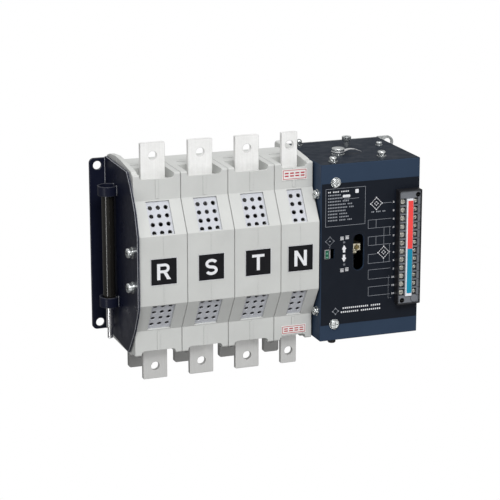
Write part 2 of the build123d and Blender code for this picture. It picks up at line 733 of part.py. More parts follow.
def left_end_plate():
    """The folded steel end plate: mounting flange, side cheek and the two handle straps."""
    outline = [
        (0, 94.6),
        (-5, 96.7),
        (-44, 96.2),
        (-78.3, 96.0),
        (-90, 83.1),
        (-104.3, 60.2),
        (-112, 37.0),
        (-112, -37.0),
        (-108.7, -45.4),
        (-98.2, -64.5),
        (-81.3, -85.7),
        (-75, -93.1),
        (-18.7, -90.0),
        (0, -89.0),
    ]
    plate = side_prism(outline, (PLATE_FACE_X, PLATE_FACE_X + PLATE))
    flange = slab((FLANGE_EDGE_X, PLATE_FACE_X), (-PLATE, 0), FLANGE_Z)
    flange = fillet(flange.edges().filter_by(Axis.Y).group_by(Axis.X)[0], FLANGE_CORNER)
    for hole_z in (PANEL_HOLE_TOP_Z, PANEL_HOLE_BOTTOM_Z):
        flange -= rod((PANEL_HOLE_LEFT_X, -THROUGH / 2, hole_z), (0, 1, 0), PANEL_HOLE_RADIUS, THROUGH)
    plate += flange
    plate += handle_strap(UPPER_STRAP_Z)
    plate += handle_strap(LOWER_STRAP_Z)
    shelf_top_z = GRIP_BOTTOM_Z - REST_GAP
    shelf_z = (shelf_top_z - SHELF, shelf_top_z)
    shelf = strap_bore(STRAP_RADIUS - STRAP / 2, shelf_z) - strap_bore(ROD_RADIUS + SHELF_CLEARANCE, shelf_z)
    plate += shelf & slab((-THROUGH, PLATE_FACE_X), (-THROUGH, 0), shelf_z)
    for side in (1, -1):
        start = (PLATE_FACE_X - 1, TIE_ROD_Y, side * TIE_ROD_Z)
        plate -= rod(start, (1, 0, 0), TIE_ROD_RADIUS + TIE_ROD_FIT, PLATE + 2)
    return plate


def handle_grip():
    """The moulded grip of the operating handle."""
    grip = strap_bore(GRIP_RADIUS, (GRIP_BOTTOM_Z, GRIP_TOP_Z))
    grip = fillet(grip.edges().filter_by(GeomType.CIRCLE), GRIP_ROUND)
    return grip - strap_bore(ROD_RADIUS, (GRIP_BOTTOM_Z - 1, GRIP_BOTTOM_Z + GRIP_SOCKET))


def handle_rod():
    """The plated rod of the operating handle, with the reduced tip that enters the lever."""
    shank = strap_bore(ROD_RADIUS, (ROD_SHOULDER_Z, GRIP_BOTTOM_Z + GRIP_SOCKET))
    shank = chamfer(shank.edges().sort_by(Axis.Z)[0], ROD_CHAMFER)
    tip = strap_bore(ROD_TIP_RADIUS, (ROD_TIP_Z, ROD_SHOULDER_Z + 1))
    tip = chamfer(tip.edges().sort_by(Axis.Z)[0], ROD_CHAMFER)
    return shank + tip


# ---------------------------------------------------------------- control box


SHANK_RADIUS = 2.0
SHANK_LENGTH = 5.0
SIDE_SCREW_Y = -101.0
FILM_SCREWS = [
    ((209.2, BOX_FRONT_Y - OVERLAY, 74.4), (0, -1, 0), 5.4, 3.0),
    ((209.2, BOX_FRONT_Y - OVERLAY, -75.8), (0, -1, 0), 5.4, 3.0),
]
SIDE_SCREWS = [
    ((BOX_LEFT_X, SIDE_SCREW_Y, 62.0), (-1, 0, 0), 5.0, 4.5),
    ((BOX_LEFT_X, SIDE_SCREW_Y, -62.0), (-1, 0, 0), 5.0, 4.5),
]
TOP_SCREWS = [
    ((209.5, -101.0, BOX_HALF_HEIGHT), (0, 0, 1), 4.5, 6.4),
    ((205.6, -16.0, BOX_HALF_HEIGHT), (0, 0, 1), 4.0, 7.6),
    ((266.4, -94.0, BOX_HALF_HEIGHT), (0, 0, 1), 4.9, 6.8),
    ((286.5, -42.0, BOX_HALF_HEIGHT), (0, 0, 1), 3.6, 4.2),
]
BOTTOM_SCREW = ((210.5, -100.0, -BOX_HALF_HEIGHT), (0, 0, -1), 4.8, 5.0)
EARTH_BOLT = (228.0, -70.0)
EARTH_HEAD_RADIUS = 6.7
EARTH_SHANK_RADIUS = 3.5
SHANK_CLEARANCE = 0.2
EARTH_WASHER = 1.4
SPRING_WASHER = 2.2
EARTH_HEAD = 3.2
TAG_Z = BOX_HALF_HEIGHT + EARTH_WASHER + SPRING_WASHER
TAG_THICKNESS = 0.8
TAG_TAIL_WIDTH = (5.6, 1.2)
TAG_RISE = (0.0, 1.3, 1.2, -0.1, -2.2)
TAG_STEP = 4.8
POST = (251.3, -37.0)
POST_RADIUS = 2.6
POST_HEAD_RADIUS = 4.9
POST_HEAD_Z = (6.6, 11.4)
POST_SOCKET = (2.4, 2.6)


def lever_slot(margin=0.0):
    """The obround slot for the handle, through the cover and its overlay."""
    width = LEVER_SLOT_WIDTH + margin
    height = LEVER_SLOT_HEIGHT + margin
    face = Plane(origin=(LEVER_SLOT_X, BOX_FRONT_Y + 10, LEVER_SLOT_Z), x_dir=(0, 0, 1), z_dir=(0, -1, 0))
    return extrude(face * SlotOverall(height, width), amount=20)


def mode_window():
    """The rectangular window in which the mode selector slides."""
    return slab(WINDOW_X, (BOX_FRONT_Y - 5, BOX_FRONT_Y + BOX_WALL + 1), WINDOW_Z)


def box_cover():
    """The painted steel cover, open towards the back plate."""
    outer = slab((BOX_LEFT_X, BOX_RIGHT_X), (BOX_FRONT_Y, -BACK_PLATE), (-BOX_HALF_HEIGHT, BOX_HALF_HEIGHT))
    front_edges = outer.edges().group_by(Axis.Y)[0]
    depth_edges = outer.edges().filter_by(Axis.Y)
    outer = fillet(front_edges + depth_edges, BOX_ROUND)
    inner_height = BOX_HALF_HEIGHT - BOX_WALL
    cover = outer - slab(
        (BOX_LEFT_X + BOX_WALL, BOX_RIGHT_X - BOX_WALL),
        (BOX_FRONT_Y + BOX_WALL, 1),
        (-inner_height, inner_height),
    )
    cover -= lever_slot()
    cover -= mode_window()
    cover -= rod((BOX_LEFT_X - 1, SHAFT_Y, 0), (1, 0, 0), SLEEVE_RADIUS, BOX_WALL + 2)
    for side in (1, -1):
        start = (BOX_LEFT_X - 1, TIE_ROD_Y, side * TIE_ROD_Z)
        cover -= rod(start, (1, 0, 0), TIE_ROD_RADIUS + TIE_ROD_CLEARANCE, BOX_WALL + 2)
    for start, outward, _, _ in FILM_SCREWS + SIDE_SCREWS + TOP_SCREWS + [BOTTOM_SCREW]:
        cover -= screw_hole(start, outward, SHANK_RADIUS, SHANK_LENGTH)
    inside_z = BOX_HALF_HEIGHT - 2 * BOX_WALL
    cover -= rod((*EARTH_BOLT, inside_z), (0, 0, 1), EARTH_SHANK_RADIUS + SHANK_CLEARANCE, THROUGH)
    cover -= rod((*POST, inside_z), (0, 0, 1), POST_RADIUS + SHANK_CLEARANCE, THROUGH)
    return cover


def box_back_plate():
    """The zinc-plated back plate with its two mounting ears."""
    depth = (-BACK_PLATE, 0)
    plate = slab((BOX_LEFT_X, BOX_RIGHT_X), depth, (-BOX_HALF_HEIGHT, BOX_HALF_HEIGHT))
    for hole_z in (PANEL_HOLE_TOP_Z, PANEL_HOLE_BOTTOM_Z):
        tab_x = (BOX_RIGHT_X - 1, PANEL_HOLE_RIGHT_X)
        plate += slab(tab_x, depth, (hole_z - EAR_RADIUS, hole_z + EAR_RADIUS))
        plate += rod((PANEL_HOLE_RIGHT_X, -BACK_PLATE, hole_z), (0, 1, 0), EAR_RADIUS, BACK_PLATE)
        plate -= rod((PANEL_HOLE_RIGHT_X, -THROUGH / 2, hole_z), (0, 1, 0), PANEL_HOLE_RADIUS, THROUGH)
    return plate


def front_overlay():
    """The printed film on the front of the cover."""
    film_x = (BOX_LEFT_X + OVERLAY_EDGE, BOX_RIGHT_X - OVERLAY_EDGE)
    film = slab(film_x, (BOX_FRONT_Y - OVERLAY, BOX_FRONT_Y), OVERLAY_Z)
    film -= lever_slot(FILM_MARGIN)
    film -= mode_window()
    for start, outward, _, _ in FILM_SCREWS:
        film -= screw_hole(start, outward, SHANK_RADIUS, SHANK_LENGTH)
    return film


def screws(table):
    """Pan screws from a table of seats, directions, head radii and head heights."""
    return [
        pan_screw(start, outward, radius, height, SHANK_RADIUS, SHANK_LENGTH)
        for start, outward, radius, height in table
    ]


def earth_bolt():
    """The earthing bolt's washers and slotted head on the top face, with a gap for the tag."""
    washer = rod((*EARTH_BOLT, BOX_HALF_HEIGHT), (0, 0, 1), EARTH_HEAD_RADIUS, EARTH_WASHER)
    spring_start = (*EARTH_BOLT, BOX_HALF_HEIGHT + EARTH_WASHER)
    spring_washer = rod(spring_start, (0, 0, 1), 0.88 * EARTH_HEAD_RADIUS, SPRING_WASHER)
    head_z = TAG_Z + TAG_THICKNESS
    head = rod((*EARTH_BOLT, head_z), (0, 0, 1), EARTH_HEAD_RADIUS, EARTH_HEAD)
    head = fillet(head.edges().sort_by(Axis.Z)[-1], 0.3 * EARTH_HEAD)
    x, y = EARTH_BOLT
    slot_z = head_z + 0.6 * EARTH_HEAD
    slot = slab((x - THROUGH, x + THROUGH), (y - SLOT_WIDTH / 2, y + SLOT_WIDTH / 2), (slot_z, THROUGH))
    shank_z = BOX_HALF_HEIGHT - 3 * BOX_WALL
    shank = rod((*EARTH_BOLT, shank_z), (0, 0, 1), EARTH_SHANK_RADIUS, head_z + 1 - shank_z)
    return washer + spring_washer + (head - slot) + shank


def earth_tag():
    """The thin earthing tag under the bolt's head, with its tapered free tail curving down to the right."""
    x, y = EARTH_BOLT
    ring_radius = EARTH_HEAD_RADIUS + 0.3
    ring = rod((x, y, TAG_Z), (0, 0, 1), ring_radius, TAG_THICKNESS)
    start_x = x + ring_radius - 0.2
    under = [(start_x + index * TAG_STEP, y, TAG_Z + rise) for index, rise in enumerate(TAG_RISE)]
    over = [(px, py, pz + TAG_THICKNESS) for px, py, pz in under]
    end_line = Line(under[-1], over[-1])
    start_line = Line(over[0], under[0])
    profile = make_face(Wire([Spline(*under), end_line, Spline(*reversed(over)), start_line]))
    wide, narrow = (width / 2 for width in TAG_TAIL_WIDTH)
    end_x = under[-1][0]
    plan = make_face(
        Polyline(
            (start_x, y - wide, 0), (end_x, y - narrow, 0), (end_x, y + narrow, 0), (start_x, y + wide, 0),
            close=True,
        )
    )
    strip = extrude(profile, amount=2 * wide, dir=(0, 1, 0), both=True)
    tail = strip & extrude(plan, amount=THROUGH, dir=(0, 0, 1))
    return ring + tail - rod((x, y, 0), (0, 0, 1), EARTH_SHANK_RADIUS, THROUGH)


def top_post():
    """The long socket-head screw left standing on the top face."""
    foot_z = BOX_HALF_HEIGHT - 2 * BOX_WALL
    head_low, head_high = (BOX_HALF_HEIGHT + rise for rise in POST_HEAD_Z)
    post = rod((*POST, foot_z), (0, 0, 1), POST_RADIUS, head_low + 1 - foot_z)
    head = rod((*POST, head_low), (0, 0, 1), POST_HEAD_RADIUS, head_high - head_low)
    head = chamfer(head.edges().group_by(Axis.Z)[0], 0.9)
    radius, depth = POST_SOCKET
    socket_face = Plane(origin=(*POST, head_high), z_dir=(0, 0, -1))
    return post + (head - extrude(socket_face * RegularPolygon(radius, 6), amount=depth))


# ---------------------------------------------------------------- terminal block


def row_heights():
    """The heights of the terminal rows, from the top down."""
    return [BLOCK_TOP_ROW_Z - index * BLOCK_PITCH for index in range(BLOCK_ROWS)]


def terminal_frame():
    """The black frame round the control terminals."""
    outer = slab(BLOCK_X, (BLOCK_FRONT_Y, BOX_FRONT_Y - OVERLAY), BLOCK_Z)
    outer = fillet(outer.edges().filter_by(Axis.Y), 1.0)
    inner_x = (BLOCK_X[0] + BLOCK_FRAME_WALL, BLOCK_X[1] - BLOCK_FRAME_WALL)
    inner_z = (BLOCK_Z[0] + BLOCK_FRAME_WALL, BLOCK_Z[1] - BLOCK_FRAME_WALL)
    return outer - slab(inner_x, (-THROUGH, 0), inner_z)


def terminal_block():
    """The moulded terminal block: screw wells in two columns, grooves between rows and a key boss."""
    body = slab(
        (BLOCK_X[0] + BLOCK_FRAME_WALL, BLOCK_X[1] - BLOCK_FRAME_WALL),
        (BLOCK_FACE_Y, BOX_FRONT_Y - OVERLAY),
        (BLOCK_Z[0] + BLOCK_FRAME_WALL, BLOCK_Z[1] - BLOCK_FRAME_WALL),
    )
    groove_x = (RIGHT_WELL_X[1], THROUGH)
    for row in row_heights():
        for well_x in (LEFT_WELL_X, RIGHT_WELL_X):
            well_z = (row - WELL_HEIGHT / 2, row + WELL_HEIGHT / 2)
            body -= slab(well_x, (BLOCK_FACE_Y - 1, BLOCK_FACE_Y + WELL_DEPTH), well_z)
        groove_z = row - BLOCK_PITCH / 2
        groove_limits = (groove_z - PARTITION_GROOVE / 2, groove_z + PARTITION_GROOVE / 2)
        body -= slab(groove_x, (BLOCK_FACE_Y - 1, BLOCK_FACE_Y + PARTITION_GROOVE), groove_limits)
    for start in BLOCK_SCREWS:
        body -= rod(start, (0, 1, 0), BLOCK_SCREW_RADIUS + BLOCK_SCREW_GAP, BLOCK_SCREW_RECESS)
    x, z, radius = KEY_BOSS
    boss = rod((x, BLOCK_FACE_Y, z), (0, -1, 0), radius, KEY_BOSS_HEIGHT)
    return body + fillet(boss.edges().group_by(Axis.Y)[0], 0.5 * KEY_BOSS_HEIGHT)


def terminal_screws():
    """The clamping screws in the wells and the block's two fixing screws."""
    pieces = []
    floor_y = BLOCK_FACE_Y + WELL_DEPTH
    half_slot = SLOT_WIDTH / 2
    for row in row_heights():
        for low, high in (LEFT_WELL_X, RIGHT_WELL_X):
            radius = (high - low) / 2 - 0.25
            head = rod(((low + high) / 2, floor_y, row), (0, -1, 0), radius, TERMINAL_SCREW_HEIGHT)
            head = fillet(head.edges().sort_by(Axis.Y)[0], 0.6)
            top_y = floor_y - TERMINAL_SCREW_HEIGHT
            slot = slab((low, high), (top_y - 1, top_y + SLOT_WIDTH), (row - half_slot, row + half_slot))
            pieces.append(head - slot)
    for x, y, z in BLOCK_SCREWS:
        seat_y = y + BLOCK_SCREW_RECESS
        head = rod((x, seat_y, z), (0, -1, 0), BLOCK_SCREW_RADIUS, BLOCK_SCREW_RECESS - 0.4)
        slot_x = (x - 2 * BLOCK_SCREW_RADIUS, x + 2 * BLOCK_SCREW_RADIUS)
        pieces.append(head - slab(slot_x, (y - 1, y + 1.4), (z - half_slot, z + half_slot)))
    return pieces


def marker_strip():
    """The white carrier of the marker strips."""
    return slab(STRIP_X, (BLOCK_FACE_Y - STRIP_THICKNESS, BLOCK_FACE_Y), STRIP_Z)


def marker(z_limits):
    """One coloured marker on the carrier."""
    carrier_y = BLOCK_FACE_Y - STRIP_THICKNESS
    return slab(MARKER_X, (carrier_y - MARKER_THICKNESS, carrier_y), z_limits)


# ---------------------------------------------------------------- drive in the box


def crank():
    """The crank disc on the shaft's end and its pin."""
    disc = rod((CRANK_X[0], SHAFT_Y, 0), (1, 0, 0), CRANK_RADIUS, CRANK_X[1] - CRANK_X[0])
    pin_length = CRANK_PIN_END_X - CRANK_X[1]
    pin = rod((CRANK_X[1], SHAFT_Y + CRANK_PIN_OFFSET, 0), (1, 0, 0), CRANK_PIN_RADIUS, pin_length)
    return disc + pin


def pin_travel():
    """How far the crank pin moves forward between the off position and a closed position."""
    return CRANK_PIN_OFFSET * (1 - math.cos(math.radians(CONTACT_THROW)))


def manual_lever():
    """The hand lever: a pivoted plate, slotted over the crank pin, with the handle's socket in its tip."""
    half = LEVER_THICKNESS / 2
    limits = (LEVER_SLOT_X - half, LEVER_SLOT_X + half)
    arm = slab(limits, LEVER_ARM_Y, (-LEVER_ARM_HALF, LEVER_ARM_HALF))
    arm = fillet(arm.edges().filter_by(Axis.X), LEVER_ARM_HALF / 2)
    tip = slab(
        (LEVER_SLOT_X - LEVER_TIP_HALF, LEVER_SLOT_X + LEVER_TIP_HALF),
        (LEVER_TIP_Y, LEVER_TIP_Y + LEVER_TIP_LENGTH),
        (SOCKET_Z - LEVER_TIP_HALF, SOCKET_Z + LEVER_TIP_HALF),
    )
    tip = fillet(tip.edges().filter_by(Axis.X).group_by(Axis.Y)[0], LEVER_TIP_ROUND)
    lever = arm + tip
    slack = CRANK_PIN_RADIUS + DRIVE_SLACK
    pin_y = SHAFT_Y + CRANK_PIN_OFFSET
    lever -= slab((0, THROUGH), (pin_y - pin_travel() - slack, pin_y + slack), (-slack, slack))
    lever -= rod((0, PIVOT_Y, 0), (1, 0, 0), PIVOT_RADIUS + PIVOT_CLEARANCE, THROUGH)
    lever -= rod((LEVER_SLOT_X, LEVER_TIP_Y, SOCKET_Z), (0, 1, 0), SOCKET_RADIUS, SOCKET_DEPTH)
    return lever


def lever_pivot():
    """The lever's pivot pin between two uprights on a foot inside the box."""
    left, right = UPRIGHT_X
    floor_z = -(BOX_HALF_HEIGHT - BOX_WALL)
    pin_overhang = 0.5
    pin_start = (left - pin_overhang, PIVOT_Y, 0)
    bracket = rod(pin_start, (1, 0, 0), PIVOT_RADIUS, right - left + 2 * pin_overhang)
    for limits in ((left, left + UPRIGHT), (right - UPRIGHT, right)):
        depth = (PIVOT_Y - UPRIGHT_HALF_DEPTH, PIVOT_Y + UPRIGHT_HALF_DEPTH)
        bracket += slab(limits, depth, (floor_z, UPRIGHT_TOP_Z))
    foot_depth = (PIVOT_Y - FOOT_HALF_DEPTH, PIVOT_Y + FOOT_HALF_DEPTH)
    return bracket + slab(UPRIGHT_X, foot_depth, (floor_z, floor_z + UPRIGHT))


def solenoid_coil():
    """The drive solenoid on the back plate, above the crank pin."""
    low, high = COIL_Z
    body = slab(COIL_X, (COIL_FRONT_Y, -BACK_PLATE), COIL_Z)
    body = chamfer(body.edges().filter_by(Axis.Z).group_by(Axis.Y)[0], COIL_CHAMFER)
    winding = rod((PLUNGER_X, PLUNGER_Y, low - WINDING_LIP), (0, 0, 1), WINDING_RADIUS, WINDING_LIP)
    bore_start = (PLUNGER_X, PLUNGER_Y, low - 2 * WINDING_LIP)
    bore_length = high - low - WINDING_LIP + 2 * WINDING_LIP
    return body + winding - rod(bore_start, (0, 0, 1), PLUNGER_RADIUS + PLUNGER_GAP, bore_length)


def solenoid_plunger():
    """The plunger with the slotted yoke that the crank pin runs in."""
    slack = CRANK_PIN_RADIUS + DRIVE_SLACK
    play = CRANK_PIN_RADIUS + LOST_MOTION
    slot_y = (PLUNGER_Y - pin_travel() - slack, PLUNGER_Y + slack)
    yoke_wall = 4.0
    yoke = slab(
        (PLUNGER_X - YOKE_HALF_THICKNESS, PLUNGER_X + YOKE_HALF_THICKNESS),
        (slot_y[0] - yoke_wall, slot_y[1] + yoke_wall),
        (-YOKE_HALF_HEIGHT, YOKE_HALF_HEIGHT),
    )
    yoke -= slab((0, THROUGH), slot_y, (-play, play))
    stem_start = (PLUNGER_X, PLUNGER_Y, YOKE_HALF_HEIGHT - 0.5)
    return yoke + rod(stem_start, (0, 0, 1), PLUNGER_RADIUS, PLUNGER_LENGTH)


def control_board():
    """The control circuit board with its relays, on posts behind the terminal block."""
    pieces = [slab(BOARD_X, BOARD_Y, (-BOARD_HALF_HEIGHT, BOARD_HALF_HEIGHT))]
    cover_inside_y = BOX_FRONT_Y + BOX_WALL
    post_z = BOARD_HALF_HEIGHT - BOARD_POST_INSET
    for x in (BOARD_X[0] + BOARD_POST_INSET, BOARD_X[1] - BOARD_POST_INSET):
        for z in (-post_z, post_z):
            start = (x, cover_inside_y, z)
            pieces.append(rod(start, (0, 1, 0), BOARD_POST_RADIUS, BOARD_Y[0] - cover_inside_y))
    for index in range(RELAYS):
        low = RELAY_FIRST_Z + index * RELAY_PITCH
        pieces.append(slab(RELAY_X, (BOARD_Y[1], RELAY_REAR_Y), (low, low + RELAY_HEIGHT)))
    return pieces


def mode_selector():
    """The knob of the automatic/manual selector with its slide behind the cover."""
    slide_y = BOX_FRONT_Y + BOX_WALL + SLIDE_GAP
    knob = slab(KNOB_X, (BOX_FRONT_Y - OVERLAY - KNOB_PROUD, slide_y + SLIDE_GAP), KNOB_Z)
    knob = fillet(knob.edges().group_by(Axis.Y)[0], KNOB_ROUND)
    return knob + slab(SLIDE_X, (slide_y, slide_y + SLIDE_THICKNESS), SLIDE_Z)


# ---------------------------------------------------------------- labels


def phase_label(pole):
    """The black square label on a pole's nose."""
    half = PHASE_LABEL_HALF
    label_x = (pole.centre - half, pole.centre + half)
    return slab(label_x, (NOSE_Y - LABEL_THICKNESS, NOSE_Y), (PHASE_LABEL_Z - half, PHASE_LABEL_Z + half))


def source_labels():
    """The white labels above and below on the neutral pole."""
    rib_y = FACE_Y - RIB_HEIGHT
    return [
        slab(SOURCE_LABEL_X, (rib_y - LABEL_THICKNESS, rib_y), limits)
        for limits in (UPPER_LABEL_Z, LOWER_LABEL_Z)
    ]


# ---------------------------------------------------------------- export


def write(name, pieces):
    """Move the pieces to the row's origin and write them as one node."""
    group = list(pieces) if isinstance(pieces, (list, tuple)) else [pieces]
    solids = [solid for piece in group for solid in piece.solids()]
    shift = Pos(*[-value for value in ORIGIN])
    node = Compound(children=[shift * solid for solid in solids])
    export_step(node, f"parts/{name}.step")


def main():
    os.makedirs("parts", exist_ok=True)
    for pole in POLES:
        write(f"pole_base_{pole.name}", pole_base(pole))
        write(f"pole_cover_{pole.name}", pole_cover(pole))
        upper = source_contact(pole)
        write(f"normal_contact_{pole.name}", upper)
        write(f"backup_contact_{pole.name}", mirror(upper, about=Plane.XY))
        write(f"load_contact_{pole.name}", load_contact(pole))
        write(f"moving_contact_{pole.name}", moving_contact(pole))
    upper_vents = [vent_panel(pole) for pole in POLES]
    write("upper_vent_panels", upper_vents)
    write("lower_vent_panels", [mirror(panel, about=Plane.XY) for panel in upper_vents])
    chutes = [piece for pole in POLES for piece in arc_chute(pole)]
    write("upper_arc_chutes", chutes)
    write("lower_arc_chutes", [mirror(piece, about=Plane.XY) for piece in chutes])
    write("phase_labels", [phase_label(pole) for pole in POLES])
    write("source_labels", source_labels())
    write("main_shaft", main_shaft())
    write("shaft_sleeves", [shaft_sleeve(pole) for pole in POLES])
    write("shaft_bushes", shaft_bushes())
    write("tie_rods", tie_rods())
    write("left_end_plate", left_end_plate())
    write("end_plate_screws", end_plate_screws())
    write("handle_grip", handle_grip())
    write("handle_rod", handle_rod())
    write("box_back_plate", box_back_plate())
    write("box_cover", box_cover())
    write("front_overlay", front_overlay())
    write("cover_screws", screws(FILM_SCREWS + SIDE_SCREWS))
    write("top_screws", screws(TOP_SCREWS))
    write("bottom_screw", screws([BOTTOM_SCREW]))
    write("earth_bolt", earth_bolt())
    write("earth_tag", earth_tag())
    write("top_post", top_post())
    write("terminal_frame", terminal_frame())
    write("terminal_block", terminal_block())
    write("terminal_screws", terminal_screws())
    write("marker_strip", marker_strip())
    write("red_marker", marker((MARKER_SPLIT_Z, MARKER_Z[1])))
    write("blue_marker", marker((MARKER_Z[0], MARKER_SPLIT_Z)))
    write("crank", crank())
    write("manual_lever", manual_lever())
    write("lever_pivot", lever_pivot())
    write("solenoid_coil", solenoid_coil())
    write("solenoid_plunger", solenoid_plunger())
    write("control_board", control_board())
    write("mode_selector", mode_selector())


main()
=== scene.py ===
"""Looks of a four-pole automatic transfer switch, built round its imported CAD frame."""

import json
import math

import bmesh
import bpy
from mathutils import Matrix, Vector


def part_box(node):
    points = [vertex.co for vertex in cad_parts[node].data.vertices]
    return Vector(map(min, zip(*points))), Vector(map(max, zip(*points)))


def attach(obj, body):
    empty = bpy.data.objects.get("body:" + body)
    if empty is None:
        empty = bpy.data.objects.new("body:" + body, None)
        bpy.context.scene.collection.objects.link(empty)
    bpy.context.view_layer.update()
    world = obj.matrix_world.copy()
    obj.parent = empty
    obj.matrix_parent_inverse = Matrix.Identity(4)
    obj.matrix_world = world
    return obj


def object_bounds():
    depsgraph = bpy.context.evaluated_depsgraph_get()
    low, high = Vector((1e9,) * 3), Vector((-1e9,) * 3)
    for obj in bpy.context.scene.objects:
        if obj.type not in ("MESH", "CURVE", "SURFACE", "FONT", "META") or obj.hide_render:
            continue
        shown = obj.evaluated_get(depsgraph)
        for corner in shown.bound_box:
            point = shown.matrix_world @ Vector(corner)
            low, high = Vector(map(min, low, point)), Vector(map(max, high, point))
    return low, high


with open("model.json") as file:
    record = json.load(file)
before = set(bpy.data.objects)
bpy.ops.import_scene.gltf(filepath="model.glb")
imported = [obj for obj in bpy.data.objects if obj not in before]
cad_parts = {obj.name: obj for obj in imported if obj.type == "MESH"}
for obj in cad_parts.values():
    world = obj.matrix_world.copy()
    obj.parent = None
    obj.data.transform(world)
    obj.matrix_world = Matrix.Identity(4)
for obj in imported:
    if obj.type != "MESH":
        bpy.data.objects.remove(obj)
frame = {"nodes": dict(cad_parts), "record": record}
cad_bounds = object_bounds()

MM = 0.001
ROOT = "frame"


# ---------------------------------------------------------------- node helpers


RAY_SAMPLES = 6
# The parts of each value's range over which a mask or a mix runs from nothing to full.
EDGE_WINDOW = (0.86, 0.995)
CREASE_SHADE_WINDOW = (0.3, 0.8)
MIDDLE_WINDOW = (0.3, 0.7)


class Shader:
    """A node material with one Principled shader and short calls for its usual inputs."""

    def __init__(self, name):
        self.material = bpy.data.materials.new(name)
        self.material.use_nodes = True
        tree = self.material.node_tree
        self.nodes = tree.nodes
        self.links = tree.links
        self.bsdf = self.nodes["Principled BSDF"]
        self.coordinates = self.nodes.new("ShaderNodeTexCoord").outputs["Object"]

    def node(self, kind, **settings):
        made = self.nodes.new(kind)
        for key, value in settings.items():
            setattr(made, key, value)
        return made

    def link(self, output, target):
        self.links.new(output, target)

    def stretched(self, scale):
        """Object coordinates scaled by axis, for grain that runs one way."""
        mapping = self.node("ShaderNodeMapping")
        mapping.inputs["Scale"].default_value = scale
        self.link(self.coordinates, mapping.inputs["Vector"])
        return mapping.outputs["Vector"]

    def component(self, vector, axis):
        """One component of a vector, by its axis."""
        parts = self.node("ShaderNodeSeparateXYZ")
        self.link(vector, parts.inputs["Vector"])
        return parts.outputs[axis]

    def noise(self, scale, detail=3.0, roughness=0.5, vector=None):
        made = self.node("ShaderNodeTexNoise")
        made.inputs["Scale"].default_value = scale
        made.inputs["Detail"].default_value = detail
        made.inputs["Roughness"].default_value = roughness
        self.link(vector or self.coordinates, made.inputs["Vector"])
        return made.outputs["Fac"]

    def voronoi(self, scale):
        made = self.node("ShaderNodeTexVoronoi")
        made.inputs["Scale"].default_value = scale
        self.link(self.coordinates, made.inputs["Vector"])
        return made.outputs["Distance"]

    def spread(self, value, low, high, window=(0.0, 1.0)):
        """A value that goes from low to high over a window, and stays at them outside it."""
        made = self.node("ShaderNodeMapRange")
        made.inputs["From Min"].default_value = window[0]
        made.inputs["From Max"].default_value = window[1]
        made.inputs["To Min"].default_value = low
        made.inputs["To Max"].default_value = high
        self.link(value, made.inputs["Value"])
        return made.outputs["Result"]

    def mix(self, factor, first, second):
        """A colour between two, each a colour or a socket."""
        made = self.node("ShaderNodeMix", data_type="RGBA")
        self.link(factor, made.inputs["Factor"])
        for index, value in ((6, first), (7, second)):
            if isinstance(value, tuple):
                made.inputs[index].default_value = (*value, 1.0)
            else:
                self.link(value, made.inputs[index])
        return made.outputs[2]

    def maths(self, operation, first, second):
        """Two values, each a number or a socket, put together by one operation."""
        made = self.node("ShaderNodeMath", operation=operation)
        for index, value in ((0, first), (1, second)):
            if isinstance(value, float):
                made.inputs[index].default_value = value
            else:
                self.link(value, made.inputs[index])
        return made.outputs[0]

    def mottled(self, clouds, colour, darker, paler, window=MIDDLE_WINDOW):
        """A colour that drifts between a darker and a paler shade of itself."""
        return self.mix(self.spread(clouds, 0.0, 1.0, window), shade(colour, darker), shade(colour, paler))

    def flecked(self, body, flecks, amount, window, colour):
        """A body colour with up to an amount of another where the flecks pass through a window."""
        return self.mix(self.spread(flecks, 0.0, amount, window), body, colour)

    def edges(self, radius):
        """A mask that is 1 along sharp edges, and the rounded normal that goes with it."""
        bevel = self.node("ShaderNodeBevel", samples=RAY_SAMPLES)
        bevel.inputs["Radius"].default_value = radius
        geometry = self.node("ShaderNodeNewGeometry")
        dot = self.node("ShaderNodeVectorMath", operation="DOT_PRODUCT")
        self.link(bevel.outputs["Normal"], dot.inputs[0])
        self.link(geometry.outputs["Normal"], dot.inputs[1])
        mask = self.spread(dot.outputs["Value"], 1.0, 0.0, EDGE_WINDOW)
        return mask, bevel.outputs["Normal"]

    def edged(self, body, mask, amount, colour):
        """A body colour with an amount of another along its edges."""
        return self.mix(self.maths("MULTIPLY", mask, amount), body, colour)

    def painted_crease_shade(self, body, distance, depth, colour):
        """A body colour that goes towards another, darker one in slots, corners and bores of the piece
        itself: painted shade.
        """
        occlusion = self.node("ShaderNodeAmbientOcclusion", samples=RAY_SAMPLES, only_local=True)
        occlusion.inputs["Distance"].default_value = distance
        return self.mix(self.spread(occlusion.outputs["AO"], depth, 0.0, CREASE_SHADE_WINDOW), body, colour)

    def bump(self, height, strength, relief, normal=None):
        made = self.node("ShaderNodeBump")
        made.inputs["Strength"].default_value = strength
        made.inputs["Distance"].default_value = relief
        self.link(height, made.inputs["Height"])
        if normal is not None:
            self.link(normal, made.inputs["Normal"])
        return made.outputs["Normal"]

    def finish(self, colour, roughness, normal, metallic=0.0, specular=0.5):
        self.link(colour, self.bsdf.inputs["Base Color"])
        if isinstance(roughness, float):
            self.bsdf.inputs["Roughness"].default_value = roughness
        else:
            self.link(roughness, self.bsdf.inputs["Roughness"])
        self.link(normal, self.bsdf.inputs["Normal"])
        self.bsdf.inputs["Metallic"].default_value = metallic
        self.bsdf.inputs["Specular IOR Level"].default_value = specular
        return self.material


def shade(colour, factor):
    """A colour made lighter or darker."""
    return tuple(min(1.0, channel * factor) for channel in colour)


# ---------------------------------------------------------------- materials


# Noise is called with its scale per metre, detail and roughness, and bump with its strength and relief.
FINE_RELIEF = 0.03 * MM
END_PLATE_THICKNESS = 2.5 * MM
